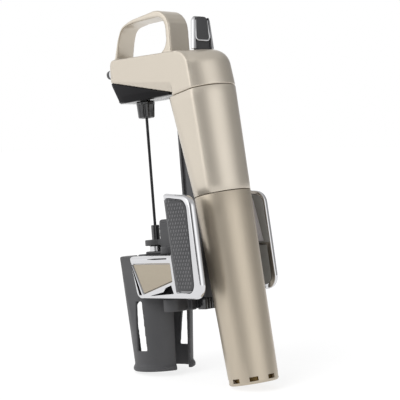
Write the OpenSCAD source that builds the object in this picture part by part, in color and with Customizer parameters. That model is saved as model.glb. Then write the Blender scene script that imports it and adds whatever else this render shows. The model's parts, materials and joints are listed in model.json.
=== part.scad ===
// Dispenser that draws wine through the cork and fills the bottle with gas, resting as it stands on a
// table: on the front of its neck sleeve and the front of its gas cup. Every piece is drawn with the
// needle on the Z axis, +X towards the spout, +Y to the left and Z = 0 at the sleeve's rim. stand()
// then leans the whole device onto those two feet and centres it. Millimetres.

/* [Needle] */
// Outer radius of the needle
needle_r = 0.9; // [0.7:0.05:1.1]
// Radius of the needle's knob where it meets the head
knob_r = 6; // [5.5:0.1:6.4]
// Height of the needle's knob
knob_h = 10; // [8:0.5:12]
// Flutes round the needle's knob
knob_flutes = 10; // [8:1:14]
// Underside of the head above the sleeve's rim, on the needle
head_z = 168; // [162:1:174]

/* [Barrel] */
// Angle between the gas barrel and the needle
barrel_tilt = 7; // [6:0.5:8]
// Distance back from the needle to the barrel's axis, where it meets the head
head_back = 53.87; // [53:0.01:55.5]
// Radius of the barrel at the cup's joint
barrel_r = 17; // [16.5:0.1:17.6]
// Radius of the barrel where it meets the head
barrel_top_r = 18.4; // [18:0.1:19]
// Length of the barrel from the cup's joint to the head
barrel_l = 63.4; // [60:0.2:66]
// Radius of the dome's shoulder
dome_round = 10.5; // [8:0.5:12]

/* [Cup] */
// Length of the gas cup below its joint
cup_l = 113; // [110:0.5:116]
// Radius of the cup at its closed end
cup_end_r = 14.8; // [14.2:0.1:16]
// Wall of the cup
cup_wall = 1.8; // [1.4:0.1:2.2]
// Radius of the gas capsule
capsule_r = 9.3; // [9:0.1:9.6]
// Length of the gas capsule
capsule_l = 83; // [80:1:85]
// Vent slots round the foot of the cup
vents = 8; // [4:1:10]
// Rise of the cup's thread in one turn
thread_pitch = 2; // [1.5:0.25:3]

/* [Head] */
// Reach of the head's nose in front of the needle
nose_reach = 25; // [23:0.5:28]
// Half width of the nose at its front
nose_half_w = 8.8; // [8.2:0.2:9.6]
// Height of the head's top above its underside, at the nose
nose_h = 29; // [27:0.5:31]
// Drop of the head's top for each millimetre towards the back
top_fall = 0.055; // [0.045:0.005:0.08]
// Height of the black cover under the nose, at its front
cover_h = 13.5; // [12:0.5:15]
// Radius of the spout
spout_r = 3.4; // [3:0.1:3.6]
// Reach of the spout in front of the nose
spout_reach = 7.5; // [6:0.5:9]

/* [Handle loop] */
// Width of the handle loop at its front
loop_w = 14.2; // [13:0.2:15.4]
// Thickness of the loop's band at the front
loop_t = 2.2; // [2:0.1:3]
// Height of the loop's crown above the head's underside
loop_h = 53.5; // [50:0.5:58]
// Distance back from the needle to the loop's rear face
loop_back = 35.4; // [33:0.2:38]

/* [Trigger] */
// Width of the trigger at its foot
trigger_w = 16; // [15:0.2:17.6]
// Thickness of the trigger
trigger_t = 4; // [3.4:0.1:4.4]
// Height of the trigger above the head
trigger_h = 20.5; // [18:0.5:22]
// Furthest that the trigger is pressed towards the loop, in degrees
trigger_swing = 10; // [6:1:12]

/* [Rail] */
// Distance back from the needle to the rail's front face
rail_back = 32.2; // [31.6:0.1:32.6]
// Width of the rail
rail_w = 10; // [9:0.2:11]
// Height of the rail's foot above the sleeve's rim
rail_foot_z = 38.5; // [36:0.5:40]
// Distance back from the needle to the rail's rear edge at its foot
rail_rear = 45.5; // [45:0.5:47]

/* [Sleeve] */
// Outer radius of the neck sleeve just above its rim
sleeve_r = 18.4; // [18.2:0.1:19.4]
// Outer radius of the neck sleeve at its top
sleeve_top_r = 22.9; // [22.4:0.1:23.2]
// Height of the neck sleeve
sleeve_h = 72; // [70:0.5:72.5]
// Distance that the skirt's middle sits in front of the needle
skirt_x = 1.2; // [0:0.1:1.4]
// Wall of the neck sleeve's skirt
sleeve_wall = 2; // [1.6:0.1:2.2]
// Radius of the bottle neck that the closed jaws hold
neck_r = 15; // [14:0.1:15.6]
// Angle from straight ahead to each jaw's front edge
front_gap = 11.5; // [9:0.5:14]
// Angle from straight ahead to each jaw's rear edge
jaw_span = 161; // [156:1:163]

/* [Arms] */
// Half width across the outsides of the arms, at their rear
arm_half_w = 33.9; // [32:0.1:35]
// Half width across the outsides of the arms, beside the sleeve
arm_front_half_w = 24.4; // [24.2:0.1:25]
// Thickness of the chrome arms
arm_t = 4; // [3.6:0.2:4.6]
// Height of the arms' top edge
grip_top_z = 109; // [105:0.5:110]
// Height of the arms' bottom edge
grip_foot_z = 46; // [44:0.5:48]
// Distance back from the needle to the arms' rear edge
grip_rear = 72; // [70:0.5:74]
// Height of the top edge of the arms in front of the grips
plate_top_z = 72; // [71:0.5:73]
// Distance back from the needle to the hinge pins
pin_back = 28; // [27:0.2:29]
// Distance of each hinge pin from the middle
pin_side = 15.6; // [15.2:0.1:16.4]

/* [Hidden] */
$fn = 72;
fit = 0.15;       // clearance of pieces that stay put
run = 0.3;        // clearance of pieces that move past each other
skin = 0.01;      // thickness of the sections that a loft runs between

// Colours
champagne = [0.79, 0.74, 0.66];
chrome = [0.86, 0.86, 0.87];
graphite = [0.27, 0.27, 0.28];
black = [0.07, 0.07, 0.08];
brass = [0.72, 0.58, 0.32];
steel = [0.66, 0.67, 0.69];
rubber = [0.32, 0.32, 0.33];

// Head and barrel
tan_tilt = tan(barrel_tilt);
head_s = barrel_l;                                            // along the barrel's axis, from its joint
head_x = -head_back;                                          // where the barrel's axis meets the head
seam_rise = 0.73;                                             // the seam above the head's underside there
seam_z = head_z + seam_rise;
barrel_back = head_back + head_s * sin(barrel_tilt);          // the same axis at the cup's joint
joint_z = seam_z - head_s * cos(barrel_tilt);
nose_top_z = head_z + nose_h;
cover_z = head_z + 1.5;                                       // underside of the cover at its front
nose_x = nose_reach;
flat_x = head_x - 5;                                          // where the head's flat sides begin
flat_y = barrel_top_r - 0.8;
flat_slope = (flat_y - nose_half_w) / (nose_x - 8 - flat_x);
corner_r = 4;                                                 // rounding of the barrel's front shoulders
loop_flare = 1.2;                                             // added to each side of the loop at its back
cover_tip = [head_x + 13.5, head_z + 0.8];
cover_back = head_x + barrel_top_r + 0.6;                     // the cover ends just short of the barrel

// Cup, along the barrel's axis
seam_gap = 0.3;
cup_floor = 1.6;
thread_r = cup_end_r - 0.9;
spigot_l = 13;
liner_r = capsule_r + 0.4;
capsule_s = -cup_l + cup_floor;
capsule_top_s = capsule_s + capsule_l;
vent_z = [1.7, 3.9];                                          // above the cup's end
vent_w = 4.8;
seal_t = 1.6;
regulator_r = 9;
regulator_top_s = barrel_l - 22;
valve_r = 11;
valve_top_s = barrel_l + 13;
bore_r = 0.9;                                                 // gas passage up the middle of the barrel
stem_r = 1.4;
stem_top_s = valve_top_s + 3.4;                               // just under the lever's toe

// Trigger
trigger_x = -loop_back - 19.2;                                // middle of the lever
trigger_pivot_z = top_z(trigger_x) - 5;
trigger_pin_r = 1.5;
slot_front = 5.2 + 10 * sin(trigger_swing);                   // room in front of the lever for its swing
toe = [4.4, 4, 2.4];                                          // reach, width and depth of the lever's toe

// Rail and clamp
groove_x = -rail_back - 2.7;
groove_w = 2.4;
groove_deep = 1.6;
web_half = rail_w / 2 - 0.4;
carriage_half = rail_w / 2 + 4;
carriage_z = [grip_foot_z + 1, sleeve_h + 6];
bracket_z = [sleeve_h + 5.5, sleeve_h + 9.2];
bracket_r = 7.1;
upright_x = -8;
upright_top_z = sleeve_h + 21.5;
guide_r = 2.6;
guide_top_z = sleeve_h + 18.4;
roof_z = sleeve_h + run;
roof_t = 1.6;
knuckle_r = 5.2;
hinge_pin_r = 1.5;
knuckle_z = [grip_foot_z - 8.5, grip_foot_z - 0.6];

// Jaws and arms
rim_r = sleeve_r + 1.2;
window_z = [13, grip_foot_z - 2];
spout_z = head_z + 21.3;
tube_z = head_z + 10;
tube_r = 1.5;
tube_bore_r = 1;
tube_end = head_x + 9;                                        // inside the valve block
grip_z = [grip_foot_z + 1, sleeve_h];                         // the part of the jaw that holds the neck
pad_z = [grip_z[0] + 2, grip_z[1] - 3];
pad_r = neck_r + 1.9;
arm_slope = (arm_half_w - arm_front_half_w) / (grip_rear + 2);
arm_angle = atan(arm_slope);
pocket = 1.6;                                                 // depth of the grip pad's pocket
plate_pocket = 1.2;
cover_t = 1.4;

// Standing: the rim's front edge and the cup's front edge touch the table together
cup_foot = [-barrel_back - cup_l * sin(barrel_tilt) + (cup_end_r - 1.2) * cos(barrel_tilt),
            joint_z - cup_l * cos(barrel_tilt) - (cup_end_r - 1.2) * sin(barrel_tilt)];
rim_foot = [skirt_x + rim_r * cos(front_gap), 0];
lean = atan((rim_foot[1] - cup_foot[1]) / (rim_foot[0] - cup_foot[0]));
front_end = leaned([nose_x + spout_reach, spout_z])[0];
rear_end = leaned([-barrel_back - (cup_l - 1.5) * sin(barrel_tilt) - cup_end_r * cos(barrel_tilt),
                   joint_z - (cup_l - 1.5) * cos(barrel_tilt) + cup_end_r * sin(barrel_tilt)])[0];
stand_shift = [-(front_end + rear_end) / 2, 0, -leaned(rim_foot)[1]];

// ---------- helpers ----------

function leaned(p) = [p[0] * cos(lean) + p[1] * sin(lean), p[1] * cos(lean) - p[0] * sin(lean)];
function top_z(x) = nose_top_z + (x - nose_x + 8) * top_fall;      // the head's top line
function flat_at(x) = flat_y - (x - flat_x) * flat_slope;          // half width of the head's flat sides
function sleeve_at(z) = sleeve_r + (sleeve_top_r - sleeve_r) * (z - 4) / (sleeve_h - 4);
function arm_y(x) = arm_front_half_w + (2 - x) * arm_slope;        // outer face of the left arm

// An outline whose corners, given as [x, y, radius], are rounded with arcs
function rounded(corners, steps = 6) = [
    for (i = [0 : len(corners) - 1])
        let (
            count = len(corners),
            b = corners[i],
            p = [b[0], b[1]],
            a = corners[(i + count - 1) % count],
            c = corners[(i + 1) % count],
            u = ([a[0], a[1]] - p) / norm([a[0], a[1]] - p),
            v = ([c[0], c[1]] - p) / norm([c[0], c[1]] - p),
            half = acos(max(-1, min(1, u * v))) / 2,
            centre = p + (u + v) / norm(u + v) * b[2] / sin(half),
            first = p + u * b[2] / tan(half) - centre,
            last = p + v * b[2] / tan(half) - centre,
            start = atan2(first[1], first[0]),
            turn = atan2(last[1], last[0]) - start,
            sweep = turn > 180 ? turn - 360 : turn < -180 ? turn + 360 : turn
        )
        each b[2] == 0 ? [p] : [for (k = [0 : steps]) centre + b[2] * [cos(start + sweep * k / steps),
                                                                       sin(start + sweep * k / steps)]]
];

// Leans and centres the device
module stand() { translate(stand_shift) rotate([0, lean, 0]) children(); }

// The barrel's own axis, with its zero at the cup's joint
module on_barrel() { translate([-barrel_back, 0, joint_z]) rotate([0, barrel_tilt, 0]) children(); }

// Extrudes an X-Z outline across the device, centred on its middle plane
module across(width) { rotate([90, 0, 0]) linear_extrude(width, center = true) children(); }

// A round rod from a to b
module rod(a, b, r) {
    d = b - a;
    translate(a) rotate([0, acos(d[2] / norm(d)), atan2(d[1], d[0])]) cylinder(h = norm(d), r = r);
}

// A rectangular ring standing on z
module ring(inner, outer, z, h) {
    translate([0, 0, z]) difference() {
        cylinder(h = h, r = outer);
        translate([0, 0, -1]) cylinder(h = h + 2, r = inner);
    }
}

// Draws a piece of the left arm on the left, or mirrored on the right
module on_side(side) { mirror([0, side == "left" ? 0 : 1, 0]) children(); }

// Puts an X-Z outline on the left arm's plane: its outer face is at depth 0, and depth runs inwards
module on_arm(depth, thickness) {
    translate([2, arm_front_half_w, 0]) rotate([0, 0, -arm_angle])
        translate([0, -depth, 0]) rotate([90, 0, 0]) linear_extrude(thickness)
            translate([-2, 0]) children();
}

// ---------- head ----------

module flat_sides() {
    reach = nose_x + spout_reach + 10;
    rear = head_x - 40;
    linear_extrude(400) polygon([
        [rear, flat_at(rear)], [reach, flat_at(reach)], [reach, -flat_at(reach)], [rear, -flat_at(rear)]]);
}

// Section of the barrel under the head, round behind and square-shouldered in front
module barrel_top_outline() {
    hull() {
        circle(barrel_top_r);
        for (side = [-1, 1])
            translate([barrel_top_r - corner_r,
                       side * (flat_at(head_x + barrel_top_r - corner_r) - corner_r)])
                circle(corner_r, $fn = 32);
    }
}

module nose_profile() {
    back = head_x + 6;
    polygon(rounded([
        [back, top_z(back), 0],
        [nose_x - 4.4, top_z(nose_x - 4.4), 3],
        [nose_x + 0.4, head_z + 22, 10],
        [nose_x - 0.8, cover_z + cover_h, 1],
        [cover_tip[0], cover_tip[1], 0],
        [back, seam_z - 6 * tan_tilt + skin, 0]
    ]));
}

module nose_plan() {
    linear_extrude(400) polygon(rounded([
        [head_x, flat_at(head_x), 0],
        [nose_x - 1.2, flat_at(nose_x - 1.2), 4],
        [nose_x + 0.2, 0, 20],
        [nose_x - 1.2, -flat_at(nose_x - 1.2), 4],
        [head_x, -flat_at(head_x), 0]
    ]));
}

module dome() {
    top_tilt = atan(top_fall);
    hull() {
        on_barrel() translate([0, 0, head_s]) linear_extrude(skin) barrel_top_outline();
        translate([head_x + 2.2, 0, top_z(head_x + 2.2)]) rotate([0, -top_tilt, 0])
            rotate_extrude($fn = 64) polygon(rounded([
                [0, 0, 0], [barrel_top_r + 0.1, 0, dome_round], [barrel_top_r + 0.1, -dome_round - 1, 0],
                [0, -dome_round - 1, 0]], 8));
    }
}

// Closed handle over the head, a little wider at the back than at the front
module loop_band() {
    crown = head_z + loop_h;
    outer = [
        [nose_x - 5.4, top_z(nose_x) - 4, 0],
        [nose_x - 14, crown - 2.9, 7],
        [-loop_back, crown + 1.7, 13],
        [-loop_back, top_z(-loop_back) - 4, 0]
    ];
    inner = [
        [nose_x - 6.6 - loop_t, top_z(nose_x - 12), 1],
        [nose_x - 11.7 - loop_t, crown - 1.75 - loop_t, 6],
        [-loop_back + loop_t + 1.7, crown - 1.7 - loop_t, 8],
        [-loop_back + loop_t + 1.7, top_z(-loop_back), 9]
    ];
    half = loop_w / 2;
    intersection() {
        across(60) difference() {
            polygon(rounded(outer));
            polygon(rounded(inner));
        }
        translate([0, 0, head_z]) linear_extrude(loop_h + 10) polygon([
            [nose_x, half], [-loop_back, half + loop_flare], [-loop_back - 2, half + loop_flare],
            [-loop_back - 2, -half - loop_flare], [-loop_back, -half - loop_flare], [nose_x, -half]]);
    }
}

// Room in the head and barrel for the lever's foot, the valve and the passages
module inner_room(grow) {
    on_barrel() translate([0, 0, regulator_top_s - grow])
        cylinder(h = valve_top_s - regulator_top_s + 2 * grow, r = valve_r + grow);
}

module trigger_slot() {
    translate([trigger_x, 0, trigger_pivot_z]) {
        rotate([90, 0, 0]) cylinder(h = trigger_w - 3 + 2 * run, r = 3.4 + run, center = true);
        translate([-trigger_t / 2 - run - 0.4, -trigger_w / 2 + 1.5 - run, 0])
            cube([trigger_t + slot_front, trigger_w - 3 + 2 * run, 30]);
        rotate([90, 0, 0]) cylinder(h = trigger_w + 10, r = trigger_pin_r, center = true);
        translate([0, -toe[1] / 2 - run, -toe[2] - 1.6]) cube([toe[0] + 0.8, toe[1] + 2 * run, toe[2] + 2]);
    }
}

module head_housing() {
    color(champagne) stand() difference() {
        intersection() {
            union() {
                dome();
                intersection() { across(60) nose_profile(); nose_plan(); }
                loop_band();
            }
            flat_sides();
        }
        inner_room(fit);
        trigger_slot();
        valve_stem_way();
        socket_hole();
        spout_way(fit);
        rod([-knob_r, 0, tube_z], [tube_end, 0, tube_z], tube_r + fit);
        rail_way();
    }
}

// The glossy cover under the nose: a wedge, keeled towards the rear
module under_cover() {
    tip = cover_tip[0];
    front = nose_x - 2;
    color(black) stand() difference() {
        intersection() {
            hull() {
                across(60) polygon([[front, cover_line(front)], [tip, cover_line(tip)],
                                    [front - 0.5, cover_line(front) - 1]]);
                translate([0, 0, cover_z - 1]) linear_extrude(skin)
                    polygon([[nose_x - 12, 7.6], [tip + 4, 5.4], [tip + 4, -5.4], [nose_x - 12, -7.6]]);
                translate([0, 0, cover_z + 0.6]) linear_extrude(skin)
                    polygon([[nose_x - 10.4, 8.6], [0, 9.6], [0, -9.6], [nose_x - 10.4, -8.6]]);
            }
            nose_plan();
            flat_sides();
            translate([cover_back, -30, 0]) cube([nose_x - cover_back + 10, 60, 400]);
        }
        socket_hole();
        rail_way();
    }
}

function rail_top_z() = cover_z + 0.6;
// Top of the cover, along the nose's underside
function cover_line(x) = cover_tip[1] - 0.02
    + (x - cover_tip[0]) * (cover_z + cover_h - cover_tip[1]) / (nose_x - 0.8 - cover_tip[0]);

module spout_way(grow) {
    translate([knob_r, 0, spout_z]) rotate([0, 90, 0]) cylinder(h = nose_x, r = spout_r - 1 + grow);
}

// Short nozzle with its collar
module spout() {
    collar = 4.8;
    color(chrome) stand() translate([0, 0, spout_z]) rotate([0, 90, 0]) difference() {
        union() {
            translate([0, 0, knob_r + fit]) cylinder(h = nose_x - knob_r + 1, r = spout_r - 1);
            translate([0, 0, nose_x + 0.5]) cylinder(h = collar - 0.5, r = spout_r);
            translate([0, 0, nose_x + collar]) cylinder(h = spout_reach - collar - 0.6, r = 1.9);
        }
        translate([0, 0, knob_r]) cylinder(h = nose_x + spout_reach, r = 1.3);
    }
}

// Black ring round the nozzle's mouth
module spout_mouth() {
    color(black) stand() translate([nose_x + 4.8, 0, spout_z]) rotate([0, 90, 0]) difference() {
        cylinder(h = spout_reach - 4.8, r1 = spout_r - 0.3, r2 = spout_r - 0.7);
        translate([0, 0, -1]) cylinder(h = spout_reach, r = 1.95);
    }
}

module socket_hole() {
    translate([0, 0, cover_z - 5]) cylinder(h = nose_h + 0.5 + fit, r = knob_r + fit);
}

// Metal insert that the needle's knob screws into
module needle_socket() {
    color(brass) stand() difference() {
        translate([0, 0, head_z + 1.2]) cylinder(h = nose_h - 4.2, r = knob_r);
        translate([0, 0, head_z]) cylinder(h = nose_h - 4, r = 1.3);
        translate([0, 0, head_z]) cylinder(h = 8, r = 3.3);
        translate([0, 0, spout_z]) rotate([0, 90, 0]) cylinder(h = 10, r = 1.3);
        translate([0, 0, tube_z]) rotate([0, -90, 0]) cylinder(h = 10, r = tube_bore_r);
    }
}

// Pipe that takes the gas from the valve to the needle
module gas_tube() {
    color(steel) stand() translate([-knob_r - fit, 0, tube_z]) rotate([0, -90, 0]) difference() {
        cylinder(h = -tube_end - knob_r - 2 * fit, r = tube_r);
        translate([0, 0, -1]) cylinder(h = -head_x, r = tube_bore_r);
    }
}

// ---------- barrel ----------

module body_shell() {
    color(champagne) stand() difference() {
        on_barrel() hull() {
            translate([0, 0, seam_gap]) linear_extrude(skin) intersection() {
                circle(barrel_r);
                square([4 * barrel_r, 2 * (barrel_r - 0.45)], center = true);
            }
            translate([0, 0, head_s - seam_gap]) linear_extrude(skin) intersection() {
                barrel_top_outline();
                polygon([[-40, flat_at(head_x - 40)], [40, flat_at(head_x + 40)],
                         [40, -flat_at(head_x + 40)], [-40, -flat_at(head_x - 40)]]);
            }
        }
        inner_room(fit);
        on_barrel() {
            translate([0, 0, -1]) cylinder(h = 8, r = thread_r + fit);
            cylinder(h = barrel_l, r = regulator_r + fit);
        }
        rail_way();
    }
}

// Side view of the rail: upright in front, and behind it follows the barrel
function rail_outline(grow) = [
    [-rail_back + grow, rail_foot_z - grow],
    [-rail_back + grow, rail_top_z() + grow],
    [-rail_seat(rail_top_z()) - grow, rail_top_z() + grow],
    [-rail_seat(joint_z) - grow, joint_z + 3 + 20 * grow],
    [-rail_rear - grow, joint_z - 22],
    [-rail_rear - grow, rail_foot_z - grow]
];
function rail_seat(z) = barrel_back - barrel_r - (z - joint_z) * tan_tilt + (z > joint_z ? 1 : -0.6);

// Room for the rail in the pieces that hold it
module rail_way() {
    across(2 * web_half + 2 * fit) polygon(rail_outline(fit));
    translate([groove_x - fit, -rail_w / 2 - fit, rail_foot_z - 1])
        cube([-rail_back - groove_x + 2 * fit, rail_w + 2 * fit, rail_top_z() + fit - rail_foot_z + 1]);
}

// Rail that the clamp runs on, with a groove down each side
module slide_rail() {
    color(black) stand() difference() {
        union() {
            across(2 * web_half) polygon(rail_outline(0));
            translate([groove_x, -rail_w / 2, rail_foot_z])
                cube([-rail_back - groove_x, rail_w, rail_top_z() - rail_foot_z]);
        }
        for (side = [-1, 1])
            translate([groove_x, side * (rail_w / 2), rail_foot_z + (rail_top_z() - rail_foot_z) / 2])
                cube([groove_w, 2 * groove_deep, rail_top_z() - rail_foot_z + 2], center = true);
        for (z = screw_z())
            translate([-rail_rear + 3, 0, z]) rotate([90, 0, 0]) cylinder(h = 40, r = 1.1, center = true);
        translate([0, 0, -0.01]) rail_end_block(fit);
    }
}
function screw_z() = [rail_foot_z + 18, rail_foot_z + 33];

module rail_end_block(grow) {
    translate([-rail_rear - grow, -web_half - 1, rail_foot_z - 1])
        cube([6.5 + 2 * grow, 2 * web_half + 2, 7 + grow]);
}

// Ribbed stop at the rail's foot
module rail_end() {
    color(black) stand() {
        difference() {
            rail_end_block(0);
            for (side = [-1, 1], i = [0 : 3])
                translate([-rail_rear + 0.8 + i * 1.6, side * (web_half + 1), rail_foot_z - 2])
                    cube([0.8, 1, 20], center = false);
            for (i = [0 : 4])
                translate([-rail_rear - 1, -web_half - 2 + i * 2.3, rail_foot_z - 2]) cube([1.5, 1.1, 20]);
        }
    }
}

module rail_screws() {
    color(steel) stand() for (z = screw_z(), side = [-1, 1])
        translate([-rail_rear + 3, side * (web_half + 0.3), z]) rotate([90, 0, 0]) {
            translate([0, 0, -0.3]) cylinder(h = 0.6, r = 1.6);
            translate([0, 0, side > 0 ? 0 : -3]) cylinder(h = 3, r = 1);
        }
}

// ---------- gas system ----------

module regulator() {
    color(brass) stand() on_barrel() difference() {
        translate([0, 0, capsule_top_s + seal_t])
            cylinder(h = regulator_top_s - capsule_top_s - seal_t, r = regulator_r);
        translate([0, 0, capsule_top_s]) cylinder(h = 8, r = 1.2);
        translate([0, 0, capsule_top_s]) cylinder(h = regulator_top_s - capsule_top_s + 1, r = bore_r);
    }
}

// Threaded spigot that the gas cup screws onto
module cup_spigot() {
    groove = thread_pitch / 2;
    color(graphite) stand() on_barrel() difference() {
        translate([0, 0, -spigot_l]) cylinder(h = spigot_l + 7 - fit, r = thread_r);
        for (turn = [0 : 3])
            ring(thread_r - 0.6, thread_r + 1, -spigot_l + 2 + turn * thread_pitch, groove);
        translate([0, 0, -spigot_l - 1]) cylinder(h = spigot_l + 20, r = regulator_r + fit);
    }
}

module regulator_seal() {
    color(rubber) stand() on_barrel() ring(1.4, 4.2, capsule_top_s, seal_t);
}

module piercing_pin() {
    color(steel) stand() on_barrel() translate([0, 0, capsule_top_s]) {
        cylinder(h = 1.4, r1 = 0.3, r2 = 1.1);
        translate([0, 0, 1.4]) cylinder(h = 6.4, r = 1.1);
    }
}

module valve_block() {
    color(brass) stand() difference() {
        on_barrel() translate([0, 0, regulator_top_s])
            cylinder(h = valve_top_s - regulator_top_s, r = valve_r);
        on_barrel() translate([0, 0, valve_top_s - 12]) cylinder(h = 20, r = stem_r + run);
        on_barrel() translate([0, 0, regulator_top_s - 1])
            cylinder(h = valve_top_s - regulator_top_s, r = bore_r);
        rod([-knob_r, 0, tube_z], [tube_end - 1, 0, tube_z], tube_r + fit);
        rod([tube_end, 0, tube_z], [tube_end - 6, 0, tube_z], tube_bore_r);
    }
}

module valve_stem_way() {
    on_barrel() translate([0, 0, valve_top_s - 1]) cylinder(h = 7, r = stem_r + 2 * run);
}

// Stem that the lever presses down
module valve_stem() {
    color(steel) stand() on_barrel() translate([0, 0, valve_top_s - 8])
        cylinder(h = stem_top_s - valve_top_s + 8, r = stem_r);
}

// ---------- trigger ----------

module trigger_pin() {
    color(steel) stand() translate([trigger_x, 0, trigger_pivot_z]) rotate([90, 0, 0])
        cylinder(h = trigger_w + 8, r = trigger_pin_r - 0.02, center = true);
}

function trigger_face() = let (foot = top_z(trigger_x) + 0.6, crown = top_z(trigger_x) + trigger_h) rounded([
    [-trigger_w / 2, foot, 0], [trigger_w / 2, foot, 0],
    [trigger_w / 2 - 1.8, crown, 3], [-trigger_w / 2 + 1.8, crown, 3]]);

module trigger_pocket(grow) {
    foot = top_z(trigger_x) + 4.4;
    crown = top_z(trigger_x) + trigger_h - 1.2;
    translate([-trigger_t / 2 - 1, 0, 0]) rotate([90, 0, 90]) linear_extrude(2.2 + grow)
        polygon(rounded([[-5.2 - grow, foot - grow, 1.6], [5.2 + grow, foot - grow, 1.6],
                         [4.6 + grow, crown + grow, 1.6], [-4.6 - grow, crown + grow, 1.6]]));
}

module trigger_lever() {
    color(chrome) stand() translate([trigger_x, 0, 0]) difference() {
        union() {
            translate([-trigger_t / 2, 0, 0]) rotate([90, 0, 90]) linear_extrude(trigger_t)
                polygon(trigger_face());
            translate([-trigger_t / 2, -trigger_w / 2 + 1.5, trigger_pivot_z])
                cube([trigger_t, trigger_w - 3, top_z(trigger_x) - trigger_pivot_z + 1.5]);
            translate([0, 0, trigger_pivot_z]) rotate([90, 0, 0])
                cylinder(h = trigger_w - 3, r = 3, center = true);
            translate([0, -toe[1] / 2, trigger_pivot_z - toe[2]]) cube(toe);
        }
        translate([0, 0, trigger_pivot_z]) rotate([90, 0, 0])
            cylinder(h = trigger_w + 8, r = trigger_pin_r + 0.05, center = true);
        trigger_pocket(0);
    }
}

module trigger_insert() {
    color(graphite) stand() translate([trigger_x, 0, 0]) intersection() {
        trigger_pocket(-0.1);
        translate([-trigger_t / 2 + 0.5, -20, 0]) cube([10, 40, 400]);
    }
}

// ---------- needle ----------

// Fluted knob that the fingers unscrew
module needle_knob() {
    flange = 1.6;
    foot_r = knob_r - 0.9;
    dip = [0, 0, 0.45, 0.8, 0.8, 0.45];                       // depth of a flute, round a rib and a flute
    steps = len(dip);
    color(black) stand() difference() {
        union() {
            translate([0, 0, head_z - knob_h])
                linear_extrude(knob_h - flange + skin, scale = (knob_r - 0.2) / foot_r)
                    polygon([for (k = [0 : steps * knob_flutes - 1])
                        (foot_r - dip[k % steps]) * [cos(k * 360 / steps / knob_flutes),
                                                     sin(k * 360 / steps / knob_flutes)]]);
            translate([0, 0, head_z - flange]) cylinder(h = flange, r = knob_r - 0.1);
            translate([0, 0, head_z]) cylinder(h = 6, r = 3.2);
        }
        translate([0, 0, head_z - knob_h - 1]) cylinder(h = knob_h + 8, r = needle_r);
    }
}

module needle() {
    color(black) stand() difference() {
        union() {
            translate([0, 0, sleeve_h + 12]) cylinder(h = head_z + 6 - sleeve_h - 12, r = needle_r);
            translate([0, 0, sleeve_h + 8]) cylinder(h = 4, r1 = 0.2, r2 = needle_r);
        }
        translate([0, 0, sleeve_h + 14]) cylinder(h = head_z, r = needle_r / 2);
    }
}

module knob_seal() {
    color(rubber) stand() ring(1.2, 3.2, head_z + 6.1, 1.6);
}

// ---------- gas cup ----------

module gas_cup() {
    color(champagne) stand() on_barrel() difference() {
        rotate_extrude() polygon(concat(
            [[0, -cup_l]],
            [for (k = [0 : 6]) [cup_end_r - 1.2 + 1.2 * sin(15 * k), -cup_l + 1.2 - 1.2 * cos(15 * k)]],
            [[barrel_r, 0], [0, 0]]));
        translate([0, 0, -spigot_l - 1]) cylinder(h = spigot_l + 2, r = thread_r + run);
        translate([0, 0, -cup_l + cup_floor]) cylinder(h = cup_l, r = cup_end_r - cup_wall);
        for (i = [0 : vents - 1])
            rotate([0, 0, 180 + i * 360 / vents])
                translate([cup_end_r - cup_wall - 1, -vent_w / 2, -cup_l + vent_z[0]])
                    cube([6, vent_w, vent_z[1] - vent_z[0]]);
    }
}

// Plastic liner that centres the capsule
module capsule_liner() {
    color(graphite) stand() on_barrel()
        ring(liner_r, cup_end_r - cup_wall - fit, capsule_s + 4.5, capsule_l * 0.72);
}

module gas_capsule() {
    color(steel) stand() on_barrel() translate([0, 0, capsule_s]) rotate_extrude()
        polygon(concat(
            [[0, 0]],
            [for (k = [0 : 6]) [capsule_r - 5 + 5 * sin(15 * k), 5 - 5 * cos(15 * k)]],
            [for (k = [0 : 6]) [capsule_r - 5 + 5 * cos(15 * k), capsule_l - 18 + 7 * sin(15 * k)]],
            [[4.1, capsule_l - 9], [4.1, capsule_l], [0, capsule_l]]));
}

// ---------- clamp ----------

module rail_channel() {
    translate([groove_x - groove_w - 20, -web_half - run, 0])
        cube([20 + groove_w, 2 * (web_half + run), 200]);
    translate([groove_x - groove_w / 2 + run, -rail_w / 2 - run, 0])
        cube([-rail_back - groove_x + groove_w / 2, rail_w + 2 * run, 200]);
}

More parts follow.
